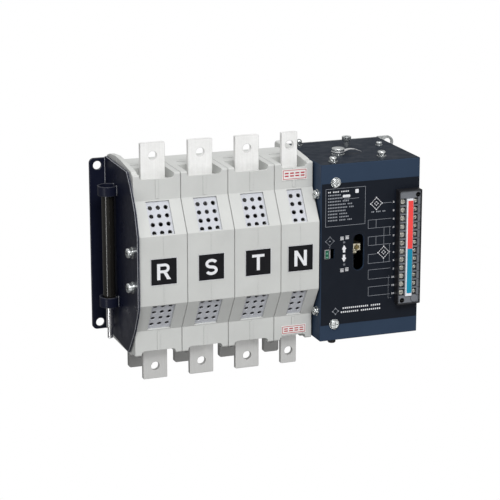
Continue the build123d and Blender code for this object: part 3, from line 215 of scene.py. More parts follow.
# How far in from the outermost screw edges the terminal block's two fixing screws end.
FIXING_SCREW_DEPTH = 5.5 * MM
BLACKENED = (0.006, 0.006, 0.007)
DUST_GREY = (0.4, 0.4, 0.42)
UPRIGHT_GRAIN = (1.0, 1.0, 0.04)
LEVEL_GRAIN = (0.04, 1.0, 1.0)


def moulded_plastic(name, colour, rough=0.5, depth=0.18, mottle=0.05, edge=1.12, specular=0.4):
    """Moulded plastic: fine spark texture, faint flow clouds, a painted highlight along the edges and painted
    shade in the corners.
    """
    s = Shader(name)
    body = s.mottled(s.noise(26.0, 5.0, 0.6), colour, 1 - mottle, 1 + mottle)
    body = s.flecked(body, s.noise(900.0, 2.0, 0.7), 0.16, (0.52, 0.75), shade(colour, 0.82))
    mask, rounded = s.edges(0.5 * MM)
    # Paler edges: a painted highlight along the arrises.
    body = s.edged(body, mask, 0.55, shade(colour, edge))
    # Painted shade in slots, seams and corners.
    body = s.painted_crease_shade(body, 2.6 * MM, 0.85, shade(colour, 0.16))
    normal = s.bump(s.noise(1400.0, 2.0, 0.55), depth, 0.05 * MM, rounded)
    roughness = s.spread(s.noise(60.0), rough - 0.06, rough + 0.08, MIDDLE_WINDOW)
    return s.finish(body, roughness, normal, specular=specular)


def painted_steel(
    name, colour, rough=0.35, orange_peel=0.22, specular=0.45, top_shade=1.0, worn_highlight=None, worn_highlight_from=0.0
):
    """Paint on steel: orange peel, tone drift, dust, painted shade on faces that look up, and paler edges,
    partly thin paint and partly painted highlight.

    With a worn_highlight colour the edges right of one X turn to it, as rubbed paint and painted highlight,
    and the others only a little.
    """
    s = Shader(name)
    body = s.mottled(s.noise(14.0, 4.0, 0.55), colour, 0.94, 1.06)
    body = s.flecked(body, s.noise(420.0, 4.0, 0.75), 0.22, (0.58, 0.8), shade(colour, 1.5))
    # Painted shade on faces that look up: they turn to the colour times top_shade, which darkens them when
    # top_shade is below 1.
    upward = s.component(s.node("ShaderNodeNewGeometry").outputs["Normal"], "Z")
    body = s.flecked(body, upward, 1.0, (0.6, 0.9), shade(colour, top_shade))
    if worn_highlight:
        # Paler edges right of one X: rubbed paint and a painted highlight along the arrises.
        mask, rounded = s.edges(1.2 * MM)
        place = s.spread(s.component(s.coordinates, "X"), 0.12, 1.0, (worn_highlight_from - 0.6 * MM, worn_highlight_from))
        body = s.edged(body, mask, place, worn_highlight)
    else:
        # Paler edges: a painted highlight, partly thin paint.
        mask, rounded = s.edges(0.6 * MM)
        body = s.edged(body, mask, 0.5, shade(colour, 1.5))
    normal = s.bump(s.noise(620.0, 2.0, 0.4), orange_peel, 0.06 * MM, rounded)
    roughness = s.spread(s.noise(90.0, 4.0), rough - 0.07, rough + 0.09, MIDDLE_WINDOW)
    return s.finish(body, roughness, normal, specular=specular)


def plated_metal(name, colour, rough=0.3, grain=(1.0, 1.0, 1.0), stain=0.12):
    """Plated or uncoated metal: brushing along one axis, cloudy plating, a painted highlight along the edges
    and painted shade in recesses.
    """
    s = Shader(name)
    lines = s.noise(900.0, 4.0, 0.6, s.stretched(grain))
    clouds = s.noise(70.0, 5.0, 0.65)
    body = s.mottled(clouds, colour, 1 - stain, 1.06, (0.35, 0.68))
    body = s.flecked(body, lines, 0.3, (0.35, 0.75), shade(colour, 0.8))
    mask, rounded = s.edges(0.3 * MM)
    # Paler edges: a painted highlight.
    body = s.edged(body, mask, 0.4, shade(colour, 1.2))
    # Painted shade in recesses and bores.
    body = s.painted_crease_shade(body, 1.4 * MM, 0.8, shade(colour, 0.12))
    normal = s.bump(lines, 0.12, FINE_RELIEF, rounded)
    roughness = s.spread(clouds, rough - 0.08, rough + 0.14, (0.3, 0.72))
    return s.finish(body, roughness, normal, metallic=1.0)


def block_screws():
    """Nickel clamping screws; the two fixing screws at the ends of the block are blackened."""
    s = Shader("nickel_screw")
    colour = (0.62, 0.61, 0.55)
    clouds = s.noise(220.0, 5.0, 0.65)
    body = s.mottled(clouds, colour, 0.6, 1.15, (0.35, 0.68))
    low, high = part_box("terminal_screws")
    height = s.component(s.coordinates, "Z")
    top_z = high.z - FIXING_SCREW_DEPTH
    bottom_z = low.z + FIXING_SCREW_DEPTH
    above = s.spread(height, 0.0, 1.0, (top_z - 0.5 * MM, top_z + 0.5 * MM))
    below = s.spread(height, 1.0, 0.0, (bottom_z - 0.5 * MM, bottom_z + 0.5 * MM))
    body = s.mix(s.maths("MAXIMUM", above, below), body, BLACKENED)
    mask, rounded = s.edges(0.3 * MM)
    # Paler edges: a painted highlight.
    body = s.edged(body, mask, 0.3, shade(colour, 1.1))
    normal = s.bump(clouds, 0.15, FINE_RELIEF, rounded)
    roughness = s.spread(clouds, 0.24, 0.44, (0.3, 0.72))
    return s.finish(body, roughness, normal, metallic=1.0)


def tinned_bar(name, tone, metallic, grain=UPRIGHT_GRAIN, rim=0.6):
    """Tin-plated copper bar: matt silver with drawn lines, fine pitting, darker rims, and painted shade in
    its bores and corners.
    """
    s = Shader(name)
    colour = (tone, tone, 0.985 * tone)
    drawn = s.noise(700.0, 3.0, 0.6, s.stretched(grain))
    clouds = s.noise(55.0, 6.0, 0.7)
    body = s.mottled(clouds, colour, 0.92, 1.06, (0.35, 0.7))
    body = s.flecked(body, drawn, 0.3, (0.4, 0.7), shade(colour, 0.8))
    pits = s.voronoi(620.0)
    body = s.mix(s.spread(pits, 0.3, 0.0, (0.0, 0.26)), body, shade(colour, 0.55))
    mask, rounded = s.edges(0.7 * MM)
    body = s.edged(body, mask, rim, shade(colour, 0.4))
    # Painted shade in bores and corners.
    body = s.painted_crease_shade(body, 3.0 * MM, 0.85, shade(colour, 0.3))
    normal = s.bump(drawn, 0.14, FINE_RELIEF, rounded)
    normal = s.bump(pits, 0.1, FINE_RELIEF, normal)
    roughness = s.spread(clouds, 0.36, 0.56, MIDDLE_WINDOW)
    return s.finish(body, roughness, normal, metallic=metallic)


def label_film(name, colour, rough=0.35):
    """Printed film: nearly even, with a faint sheen change and fine dust."""
    s = Shader(name)
    body = s.mottled(s.noise(45.0, 4.0), colour, 0.94, 1.06)
    body = s.flecked(body, s.noise(1500.0, 3.0, 0.8), 0.04, (0.6, 0.8), DUST_GREY)
    normal = s.bump(s.noise(300.0, 2.0), 0.06, FINE_RELIEF)
    roughness = s.spread(s.noise(120.0), rough - 0.06, rough + 0.08, MIDDLE_WINDOW)
    return s.finish(body, roughness, normal, specular=0.16)


def printed_ink(name, colour):
    """Screen-printed ink: slightly uneven cover and a rough dry surface."""
    s = Shader(name)
    cover = s.noise(1800.0, 3.0, 0.7)
    body = s.mottled(cover, colour, 0.8, 1.0, (0.25, 0.6))
    normal = s.bump(cover, 0.1, 0.02 * MM)
    return s.finish(body, s.spread(cover, 0.5, 0.7, MIDDLE_WINDOW), normal, specular=0.3)


def circuit_board():
    """Green solder resist with a faint track pattern."""
    s = Shader("board_resist")
    tracks = s.node("ShaderNodeTexBrick")
    tracks.inputs["Scale"].default_value = 160.0
    tracks.inputs["Color1"].default_value = (0.02, 0.13, 0.05, 1.0)
    tracks.inputs["Color2"].default_value = (0.015, 0.1, 0.04, 1.0)
    tracks.inputs["Mortar"].default_value = (0.05, 0.22, 0.09, 1.0)
    s.link(s.coordinates, tracks.inputs["Vector"])
    normal = s.bump(tracks.outputs["Fac"], 0.2, 0.05 * MM)
    return s.finish(tracks.outputs["Color"], s.spread(s.noise(90.0), 0.3, 0.5), normal)


FLOOR_DIM = (0.24, 0.24, 0.238)
FLOOR_PALE = (0.27, 0.27, 0.268)
WHITE = (1.0, 1.0, 1.0, 1.0)


def floor_paper():
    """Seamless white studio paper: plain white to the camera, and calm in the object's reflections."""
    s = Shader("studio_paper")
    fibre = s.noise(240.0, 4.0, 0.6)
    body = s.mix(s.spread(fibre, 0.0, 1.0), FLOOR_DIM, FLOOR_PALE)
    paper = s.finish(body, 0.95, s.bump(fibre, 0.05, 0.1 * MM), specular=0.1)
    glow = s.node("ShaderNodeEmission")
    glow.inputs["Color"].default_value = WHITE
    mixer = s.node("ShaderNodeMixShader")
    s.link(s.node("ShaderNodeLightPath").outputs["Is Camera Ray"], mixer.inputs["Fac"])
    s.link(s.bsdf.outputs["BSDF"], mixer.inputs[1])
    s.link(glow.outputs["Emission"], mixer.inputs[2])
    s.link(mixer.outputs["Shader"], s.nodes["Material Output"].inputs["Surface"])
    return paper


def navy_enamel():
    """The end plate's enamel, with paler edges along the plate that are partly rubbed paint and partly
    painted highlight, but not on the handle straps left of it.
    """
    outer_face_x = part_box("left_end_plate")[1].x - END_PLATE_THICKNESS
    return painted_steel(
        "navy_enamel", (0.0075, 0.0095, 0.023), rough=0.33, orange_peel=0.1, specular=0.25,
        worn_highlight=(0.62, 0.64, 0.68), worn_highlight_from=outer_face_x - 0.1 * MM,
    )


MATERIALS = {
    "housing": moulded_plastic("housing_moulding", (0.60, 0.61, 0.595), edge=1.3),
    "vent_panel": moulded_plastic("vent_moulding", (0.57, 0.585, 0.63), edge=1.6),
    "phase_label": label_film("phase_film", (0.006, 0.006, 0.008), 0.45),
    "source_label": label_film("source_film", (0.82, 0.81, 0.79), 0.4),
    "tinned_copper": tinned_bar("tinned_bar", 0.69, 0.6),
    "copper": plated_metal("bare_copper", (0.76, 0.42, 0.28), 0.35, (0.05, 1.0, 1.0)),
    "chute_steel": plated_metal("chute_plate", (0.36, 0.36, 0.37), 0.45),
    "bronze": plated_metal("sintered_bronze", (0.55, 0.38, 0.2), 0.5, stain=0.25),
    "zinc_steel": plated_metal("zinc_plate", (0.74, 0.77, 0.77), 0.24, (0.3, 1.0, 1.0), stain=0.2),
    "black_steel": painted_steel("blackened_screw", (0.014, 0.014, 0.016)),
    "navy_paint": navy_enamel(),
    # The box's top faces carry painted shade: top_shade 0.3 darkens them.
    "box_paint": painted_steel("box_powder", (0.030, 0.050, 0.087), rough=0.5, specular=0.08, top_shade=0.3),
    "overlay_film": label_film("overlay_print", (0.0065, 0.0095, 0.0165), 0.5),
    "tinned_tag": plated_metal("tinned_strip", (0.95, 0.96, 0.98), 0.34),
    "black_plastic": moulded_plastic("black_moulding", (0.014, 0.014, 0.017), rough=0.42, edge=2.2),
    "grey_plastic": moulded_plastic("grey_moulding", (0.17, 0.18, 0.2)),
    "terminal_screw": block_screws(),
    "white_plastic": moulded_plastic("white_moulding", (0.82, 0.84, 0.88), rough=0.35, mottle=0.02),
    "red_marker": label_film("red_strip", (0.93, 0.075, 0.07)),
    "blue_marker": label_film("teal_strip", (0.008, 0.27, 0.43)),
    "bracket_steel": plated_metal("pressed_steel", (0.5, 0.51, 0.52), 0.4),
    "coil": painted_steel("coil_lacquer", (0.05, 0.05, 0.055)),
    "circuit_board": circuit_board(),
    "shaft_steel": plated_metal("turned_steel", (0.48, 0.48, 0.49), 0.32, (0.02, 1.0, 1.0)),
    "sleeve_plastic": moulded_plastic("sleeve_thermoset", (0.26, 0.05, 0.03), rough=0.45),
    "lever_steel": plated_metal("yellow_zinc", (0.78, 0.72, 0.55), stain=0.2),
    "grip": moulded_plastic(
        "grip_moulding", (0.012, 0.011, 0.009), rough=0.16, depth=0.05, edge=2.5, specular=0.8
    ),
    "chrome_rod": plated_metal("bright_plate", (0.95, 0.95, 0.97), 0.26, (1.0, 1.0, 0.05), stain=0.04),
    "selector": label_film("selector_moulding", (0.40, 0.38, 0.40)),
}
# Lit and shaded copies of the tinned bar for nodes by the start of their names: the normal contacts painted
# lighter, as painted light, and the load contacts darker, as painted shade.
LIT_AND_SHADED_COPIES = {
    "normal_contact_": tinned_bar("tinned_bar_painted_lit", 0.95, 0.2, rim=0.75),
    "load_contact_": tinned_bar("tinned_bar_painted_shade", 0.40, 0.5, LEVEL_GRAIN, 0.75),
}
INK_WHITE = printed_ink("ink_white", (0.86, 0.87, 0.9))
INK_GREY = printed_ink("ink_grey", (0.36, 0.38, 0.42))
INK_RED = printed_ink("ink_red", (0.52, 0.035, 0.06))
INK_GREEN = printed_ink("ink_green", (0.006, 0.10, 0.055))
# Paler green ink for the painted highlights on the selector knob.
INK_HIGHLIGHT_GREEN = printed_ink("ink_painted_highlight", (0.20, 0.46, 0.33))


def dress_nodes():
    """Each CAD node gets a lit or shaded copy of the tinned bar where one is listed for its name, or else the
    material of its slot in the record.
    """
    slot_of = {entry["node"]: entry["material_slot"] for entry in frame["record"]["subparts"]}
    for name, node in frame["nodes"].items():
        look = MATERIALS[slot_of[name]]
        for start, own in LIT_AND_SHADED_COPIES.items():
            if name.startswith(start):
                look = own
        node.data.materials.clear()
        node.data.materials.append(look)


# ---------------------------------------------------------------- printed marks


PRINT_HEIGHT = 0.06 * MM


def printed(name, face_y, outlines, material):
    """Flat closed outlines in (x, z), raised by an ink film's height on a face that looks towards -Y."""
    mesh = bmesh.new()
    for outline in outlines:
        vertices = [mesh.verts.new((x, face_y, z)) for x, z in outline]
        face = mesh.faces.new(vertices)
        face.normal_update()
        if face.normal.y > 0:
            face.normal_flip()
    raised = bmesh.ops.extrude_face_region(mesh, geom=list(mesh.faces))
    moved = [item for item in raised["geom"] if isinstance(item, bmesh.types.BMVert)]
    bmesh.ops.translate(mesh, verts=moved, vec=(0, -PRINT_HEIGHT, 0))
    bmesh.ops.recalc_face_normals(mesh, faces=list(mesh.faces))
    data = bpy.data.meshes.new(name)
    mesh.to_mesh(data)
    mesh.free()
    data.materials.append(material)
    piece = bpy.data.objects.new(name, data)
    bpy.context.collection.objects.link(piece)
    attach(piece, ROOT)
    return piece


def bar(x, z, width, height):
    """A rectangle by its centre."""
    return [
        (x - width / 2, z - height / 2),
        (x + width / 2, z - height / 2),
        (x + width / 2, z + height / 2),
        (x - width / 2, z + height / 2),
    ]


def stroke(start, end, width):
    """A straight line of a given width."""
    a, b = Vector(start), Vector(end)
    side = (b - a).normalized().orthogonal() * width / 2
    return [tuple(a - side), tuple(b - side), tuple(b + side), tuple(a + side)]


def ring_of_bars(low, high, width):
    """A rectangular frame drawn as four bars that don't overlap."""
    (x0, z0), (x1, z1) = low, high
    middle_x, middle_z = (x0 + x1) / 2, (z0 + z1) / 2
    return [
        bar(middle_x, z1 - width / 2, x1 - x0, width),
        bar(middle_x, z0 + width / 2, x1 - x0, width),
        bar(x0 + width / 2, middle_z, width, z1 - z0 - 2 * width),
        bar(x1 - width / 2, middle_z, width, z1 - z0 - 2 * width),
    ]


def mark_group(x, z, width, height, rows):
    """A hatch of short level bars of one length, which stands where the object has a printed sign."""
    pitch = height / rows
    return [bar(x, z + height / 2 - (row + 0.5) * pitch, width, 0.5 * pitch) for row in range(rows)]


def arc_points(centre, radii, start, end, count=14):
    """Points along an elliptical arc between two angles in degrees."""
    points = []
    for index in range(count + 1):
        angle = math.radians(start + (end - start) * index / count)
        points.append((centre[0] + radii[0] * math.cos(angle), centre[1] + radii[1] * math.sin(angle)))
    return points


def ribbon(centre_line, width):
    """A band of even width along a line of points."""
    left, right = [], []
    for index, point in enumerate(centre_line):
        before = Vector(centre_line[max(index - 1, 0)])
        after = Vector(centre_line[min(index + 1, len(centre_line) - 1)])
        side = (after - before).normalized().orthogonal() * width / 2
        left.append(tuple(Vector(point) + side))
        right.append(tuple(Vector(point) - side))
    return left + right[::-1]


# ---------------------------------------------------------------- phase and source labels


# The letters stand on a line and are 1 high; stems, level strokes and widths are parts of that height.
STEM = 0.2
CROSS = 0.17
BOWL_FOOT = 0.42
BOWL_TURN_X = 0.5
LEG = [(0.4, BOWL_FOOT), (0.62, BOWL_FOOT), (0.87, 0.0), (0.63, 0.0)]
S_MIDDLE_X = 0.39
S_REACH = (0.30, (1 - CROSS) / 4)
S_STROKE = 1.08 * CROSS
T_WIDTH = 0.8
N_WIDTH = 0.82
N_SLOPE_DROP = 0.68


def letter_r():
    middle_z = (1 + BOWL_FOOT) / 2
    radius = (1 - BOWL_FOOT) / 2 - CROSS / 2
    bowl = arc_points((BOWL_TURN_X, middle_z), (radius, radius), 90, -90)
    centre_line = [(STEM, 1 - CROSS / 2)] + bowl + [(STEM, BOWL_FOOT + CROSS / 2)]
    return [bar(STEM / 2, 0.5, STEM, 1.0), ribbon(centre_line, CROSS), LEG]


def letter_s():
    upper = arc_points((S_MIDDLE_X, 0.5 + S_REACH[1]), S_REACH, 22, 270, 20)
    lower = arc_points((S_MIDDLE_X, 0.5 - S_REACH[1]), S_REACH, 90, -158, 20)
    return [ribbon(upper[:-1] + lower[1:], S_STROKE)]


def letter_t():
    middle_x = T_WIDTH / 2
    return [bar(middle_x, 1 - CROSS / 2, T_WIDTH, CROSS), bar(middle_x, (1 - CROSS) / 2, STEM, 1 - CROSS)]


def letter_n():
    right_x = N_WIDTH - STEM
    slope = [(STEM, 1.0), (right_x, 1 - N_SLOPE_DROP), (right_x, 0.0), (STEM, N_SLOPE_DROP)]
    return [bar(STEM / 2, 0.5, STEM, 1.0), slope, bar(N_WIDTH - STEM / 2, 0.5, STEM, 1.0)]


LETTERS = {"r": letter_r, "s": letter_s, "t": letter_t, "n": letter_n}
LETTER_HEIGHT = 16.6 * MM
PHASE_BORDER = 0.42 * MM
SOURCE_BORDER = 0.6 * MM
SOURCE_INSET = 0.9 * MM
UPPER_SOURCE_LABEL = 11.4 * MM
LOWER_SOURCE_LABEL = 9.4 * MM
SOURCE_GROUPS = 4


def letter(phase, centre, face_y):
    """A bold phase letter on a label, centred on a point."""
    outlines = LETTERS[phase]()
    middle_x = max(x for outline in outlines for x, _ in outline) / 2
    placed = []
    for outline in outlines:
        corners = [(x - middle_x, z - 0.5) for x, z in outline]
        placed.append([(centre[0] + x * LETTER_HEIGHT, centre[1] + z * LETTER_HEIGHT) for x, z in corners])
    printed("letter_" + phase, face_y, placed, INK_WHITE)


def phase_letters():
    """White letters and thin borders on the black phase labels, each in line with its pole's terminal."""
    low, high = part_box("phase_labels")
    middle_z = (low.z + high.z) / 2
    half = (high.z - low.z) / 2
    borders = []
    for phase in LETTERS:
        terminal_low, terminal_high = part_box("normal_contact_" + phase)
        x = (terminal_low.x + terminal_high.x) / 2
        letter(phase, (x, middle_z), low.y)
        borders += ring_of_bars((x - half, middle_z - half), (x + half, middle_z + half), PHASE_BORDER)
    printed("phase_label_borders", low.y, borders, INK_WHITE)


def source_marks():
    """A red border and groups of two level red bars on each source label."""
    low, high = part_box("source_labels")
    left_x, right_x = low.x + SOURCE_INSET, high.x - SOURCE_INSET
    pitch = (right_x - left_x) / (SOURCE_GROUPS + 0.4)
    red = []
    for bottom, top in ((low.z, low.z + LOWER_SOURCE_LABEL), (high.z - UPPER_SOURCE_LABEL, high.z)):
        red += ring_of_bars((left_x, bottom + SOURCE_INSET), (right_x, top - SOURCE_INSET), SOURCE_BORDER)
        for index in range(SOURCE_GROUPS):
            x = left_x + (index + 0.7) * pitch
            red += mark_group(x, (bottom + top) / 2, 0.72 * pitch, 0.5 * (top - bottom), 2)
    printed("source_label_marks", low.y, red, INK_RED)


# ---------------------------------------------------------------- front film of the control box


# Places on the film are in millimetres from its left edge and from its middle height.
FILM_LINE = 0.3 * MM
SMALL_BLOCK_MM, SMALL_GAP_MM = 1.25, 0.55
LARGE_BLOCK_MM, LARGE_GAP_MM = 1.55, 0.72
TERMINAL_LEVELS_MM = [50.3 - 8.92 * index for index in range(12)]
TERMINAL_MARKS_X_MM = 79.8
TERMINAL_MARK_HEIGHT_MM = 2.2
DOUBLE_MARKS_FROM = 9
NAMEPLATE_LOW_MM, NAMEPLATE_HIGH_MM = (4.1, 29.9), (48.1, 69.6)
NAMEPLATE_HEADING_MM = (6.7, 66.0)
NAMEPLATE_HEADING = (2, 4, 5)
NAMEPLATE_ROWS = ((8,), (9, 3), (8, 4), (11, 3), (12, 3), (11,), (6, 5), (6, 6), (6, 4, 3))
NAMEPLATE_TEXT_MM = (6.8, 62.7)
NAMEPLATE_ROW_PITCH_MM = 3.3
# Place, width, height and corner radius of each white patch.
NAMEPLATE_PATCHES_MM = ((38.6, 65.3, 3.7, 4.1, 0.6), (27.0, 60.9, 8.4, 2.9, 1.2))
NAMEPLATE_UNDERLINE_MM = ((24.0, 57.6), (41.0, 58.0))
ARROW_X_MM = 25.1
ARROW_WIDTH = 4.9 * MM
ARROW_ENDS_MM = ((1.4, 9.4), (-0.9, -8.8))
SIGNS_MM = ((22.6, 16.6), (28.4, 17.2), (23.0, -17.4), (28.4, -16.8))
SIGN_SIZE_MM = (3.7, 4.2)
SMALL_SIGNS_MM = ((25.0, 12.2), (25.4, -11.4))
SMALL_SIGN_SIZE_MM = (2.2, 2.0)
SELECTOR_SIGN_MM = (9.2, 14.6)
SELECTOR_DOT_MM = (9.0, 7.9)
RECTIFIERS_MM = ((60.5, 50.2), (69.5, -2.4))
RECTIFIER_LEAD_MM = 7.4
BUS_X_MM = 77.4
# Half the width and the line width of each kind of diamond.
OUTER_DIAMOND = (6.3 * MM, 0.62 * MM)
INNER_DIAMOND = (2.0 * MM, 0.4 * MM)
SELECTOR_DIAMOND = (4.6 * MM, 0.42 * MM)
NOTICE_DIAMOND = (3.2 * MM, 0.5 * MM)
# Left, top and bottom of the diagram's loops, then X, top and bottom of its upright lines.
LOOPS_MM = (
    (51.6, 33.2, 24.4), (51.9, 15.4, 6.2), (52.2, -3.4, -13.0), (52.5, -20.0, -30.0), (52.8, -38.4, -48.0),
)
UPRIGHTS_MM = (
    (60.5, 33.0, 24.6), (60.6, 15.2, 6.4), (69.5, 24.2, 4.6), (69.5, -9.4, -12.8), (76.0, 24.2, 15.6),
    (76.0, 6.0, -12.8),
)
# A loop's level line between these two levels stops short of the second diamond.
INTERRUPTED_LEVELS_MM = (-8.0, 0.0)
INTERRUPTED_END_MM = 61.5
DASHES = 15
DASH_PITCH_MM = 1.6
DASHED_LINE_MM = (75.4, -28.2)
FOOT_BARS_MM = ((76.2, -52.4), (78.2, -52.4))
RECTIFIER_PRINT_MM = (55.0, 41.6)
NOTICE_SIGN_MM = (16.3, -60.8)
# Place of each row of the notice, with its runs of blocks.
NOTICE_ROWS = ((24.2, -58.2, (13, 5)), (22.2, -62.4, (9, 10)))


def film_place(x_mm, z_mm):
    """A place on the film, in the scene's metres."""
    low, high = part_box("front_overlay")
    return (low.x + x_mm * MM, (low.z + high.z) / 2 + z_mm * MM)


def film_line(start_mm, end_mm):
    """A thin line between two places on the film."""
    return stroke(film_place(*start_mm), film_place(*end_mm), FILM_LINE)


def film_marks(x_mm, z_mm, width_mm, height_mm, rows):
    """A hatch of level bars at a place on the film."""
    return mark_group(*film_place(x_mm, z_mm), width_mm * MM, height_mm * MM, rows)


def arrow(x, tail_z, tip_z):
    """An arrow with a broad head that narrows to a short tail."""
    reach = tip_z - tail_z
    broad_z, neck_z = tail_z + 0.48 * reach, tail_z + 0.36 * reach
    neck_x = x + 0.26 * ARROW_WIDTH
    right = [(x + ARROW_WIDTH / 2, broad_z), (neck_x, neck_z), (neck_x, tail_z)]
    left = [(2 * x - side_x, side_z) for side_x, side_z in reversed(right)]
    return [(x, tip_z)] + right + left


def small_print(left_mm, z_mm, counts, size=SMALL_BLOCK_MM, gap=SMALL_GAP_MM):
    """A row of small plain blocks, one count for each run, in place of a line of text."""
    marks = []
    x_mm = left_mm
    for count in counts:
        for _ in range(count):
            x, z = film_place(x_mm + size / 2, z_mm)
            marks.append(bar(x, z, 0.85 * size * MM, 1.05 * size * MM))
            x_mm += size + gap
        x_mm += 1.4 * size
    return marks


def rounded_patch(centre, width, height, corner):
    """A filled rectangle with round corners."""
    outline = []
    x, z = centre
    for side_x, side_z, start in ((1, 1, 0), (-1, 1, 90), (-1, -1, 180), (1, -1, 270)):
        middle = (x + side_x * (width / 2 - corner), z + side_z * (height / 2 - corner))
        outline += arc_points(middle, (corner, corner), start, start + 90, 4)
    return outline


def diamond(centre, half, width):
    """A square on its corner drawn as dashes, with blobs at its corners."""
    x, z = centre
    corners = [(x, z + half), (x + half, z), (x, z - half), (x - half, z)]
    marks = []
    for index in range(4):
        a, b = Vector(corners[index]), Vector(corners[(index + 1) % 4])
        for begin, finish in ((0.16, 0.36), (0.44, 0.56), (0.64, 0.84)):
            marks.append(stroke(a.lerp(b, begin), a.lerp(b, finish), width))
        marks.append(bar(a.x, a.y, 2.1 * width, 2.1 * width))
    return marks


def nameplate(white, grey):
    """The thin frame of the rating plate with its rows of small print and its two white patches."""
    grey += ring_of_bars(film_place(*NAMEPLATE_LOW_MM), film_place(*NAMEPLATE_HIGH_MM), FILM_LINE)
    white += small_print(*NAMEPLATE_HEADING_MM, NAMEPLATE_HEADING)
    left_mm, first_mm = NAMEPLATE_TEXT_MM
    for index, counts in enumerate(NAMEPLATE_ROWS):
        grey += small_print(left_mm, first_mm - index * NAMEPLATE_ROW_PITCH_MM, counts)
    for x_mm, z_mm, width_mm, height_mm, corner_mm in NAMEPLATE_PATCHES_MM:
        white.append(rounded_patch(film_place(x_mm, z_mm), width_mm * MM, height_mm * MM, corner_mm * MM))
    grey.append(film_line(*NAMEPLATE_UNDERLINE_MM))


def switch_marks(white, grey):
    """The two arrows beside the lever slot and the groups of marks round them."""
    for tail_mm, tip_mm in ARROW_ENDS_MM:
        x, tail_z = film_place(ARROW_X_MM, tail_mm)
        white.append(arrow(x, tail_z, film_place(ARROW_X_MM, tip_mm)[1]))
    for x_mm, z_mm in SIGNS_MM:
        white += film_marks(x_mm, z_mm, *SIGN_SIZE_MM, 3)
    for x_mm, z_mm in SMALL_SIGNS_MM:
        grey += film_marks(x_mm, z_mm, *SMALL_SIGN_SIZE_MM, 2)
    grey += diamond(film_place(*SELECTOR_SIGN_MM), *SELECTOR_DIAMOND)
    grey += film_marks(*SELECTOR_SIGN_MM, 1.6, 1.6, 1)
    grey += film_marks(*SELECTOR_DOT_MM, 1.1, 1.1, 1)


def diagram(white, grey):
    """The circuit diagram: two rectifier diamonds, five loops, upright lines and a dashed line."""
    for x_mm, z_mm in RECTIFIERS_MM:
        white += diamond(film_place(x_mm, z_mm), *OUTER_DIAMOND)
        white += diamond(film_place(x_mm, z_mm), *INNER_DIAMOND)
        grey.append(film_line((x_mm + RECTIFIER_LEAD_MM, z_mm), (BUS_X_MM, z_mm)))
    for left_mm, top_mm, bottom_mm in LOOPS_MM:
        for level_mm in (top_mm, bottom_mm):
            interrupted = INTERRUPTED_LEVELS_MM[0] < level_mm < INTERRUPTED_LEVELS_MM[1]
            end_mm = INTERRUPTED_END_MM if interrupted else BUS_X_MM
            grey.append(film_line((left_mm, level_mm), (end_mm, level_mm)))
        grey.append(film_line((left_mm, top_mm - 0.2), (left_mm, bottom_mm + 0.2)))
    for x_mm, top_mm, bottom_mm in UPRIGHTS_MM:
        grey.append(film_line((x_mm, top_mm), (x_mm, bottom_mm)))
    dash_x_mm, first_mm = DASHED_LINE_MM
    for index in range(DASHES):
        top_mm = first_mm - DASH_PITCH_MM * index
        grey.append(film_line((dash_x_mm, top_mm), (dash_x_mm, top_mm - 0.6 * DASH_PITCH_MM)))
    for place_mm in FOOT_BARS_MM:
        grey.append(bar(*film_place(*place_mm), 1.2 * MM, FILM_LINE))
    grey += small_print(*RECTIFIER_PRINT_MM, (2, 3, 2))
    for index, level_mm in enumerate(TERMINAL_LEVELS_MM):
        x_mm = TERMINAL_MARKS_X_MM + 0.15 * index
        white += film_marks(x_mm, level_mm, 1.5, TERMINAL_MARK_HEIGHT_MM, 2)
        if index >= DOUBLE_MARKS_FROM:
            white += film_marks(x_mm - 1.6, level_mm, 0.6, 2 * TERMINAL_MARK_HEIGHT_MM, 1)


def overlay_print():
    """All the print on the front film."""
    face_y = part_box("front_overlay")[0].y
    white = []
    grey = []
    nameplate(white, grey)
    switch_marks(white, grey)
    diagram(white, grey)
    grey += diamond(film_place(*NOTICE_SIGN_MM), *NOTICE_DIAMOND)
    for left_mm, z_mm, counts in NOTICE_ROWS:
        white += small_print(left_mm, z_mm, counts, LARGE_BLOCK_MM, LARGE_GAP_MM)
    printed("overlay_print_white", face_y, white, INK_WHITE)
    printed("overlay_print_grey", face_y, grey, INK_GREY)


# Left, right, bottom and top of the knob's flat face from the selector's lower left corner, in millimetres.
KNOB_FACE_MM = (1.2, 5.15, 5.15, 14.05)
# Height above the face's middle, width and height of the two painted highlights, in millimetres.
KNOB_HIGHLIGHTS_MM = ((1.2, 1.3, 1.7), (-2.9, 1.9, 1.2))


def selector_marks():
    """The green face of the selector knob and its two painted highlights, which ride with it."""
    low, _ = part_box("mode_selector")
    left_mm, right_mm, bottom_mm, top_mm = KNOB_FACE_MM
    middle_x = low.x + (left_mm + right_mm) / 2 * MM
    middle_z = low.z + (bottom_mm + top_mm) / 2 * MM
    face = [bar(middle_x, middle_z, (right_mm - left_mm) * MM, (top_mm - bottom_mm) * MM)]
    green = printed("selector_green", low.y, face, INK_GREEN)
    highlights = [bar(middle_x, middle_z + up * MM, wide * MM, high * MM) for up, wide, high in KNOB_HIGHLIGHTS_MM]
    # Painted highlights on the knob's green face.
    highlight_print = printed("selector_painted_highlights", low.y - PRINT_HEIGHT, highlights, INK_HIGHLIGHT_GREEN)
    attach(green, "selector_knob")
    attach(highlight_print, "selector_knob")


# ---------------------------------------------------------------- stage, lights and camera


CORNERS = ((-1, -1), (1, -1), (1, 1), (-1, 1))
FLOOR_HALF = 45.0
FLOOR_DROP = 1.0
SKY_STRENGTH = 0.53
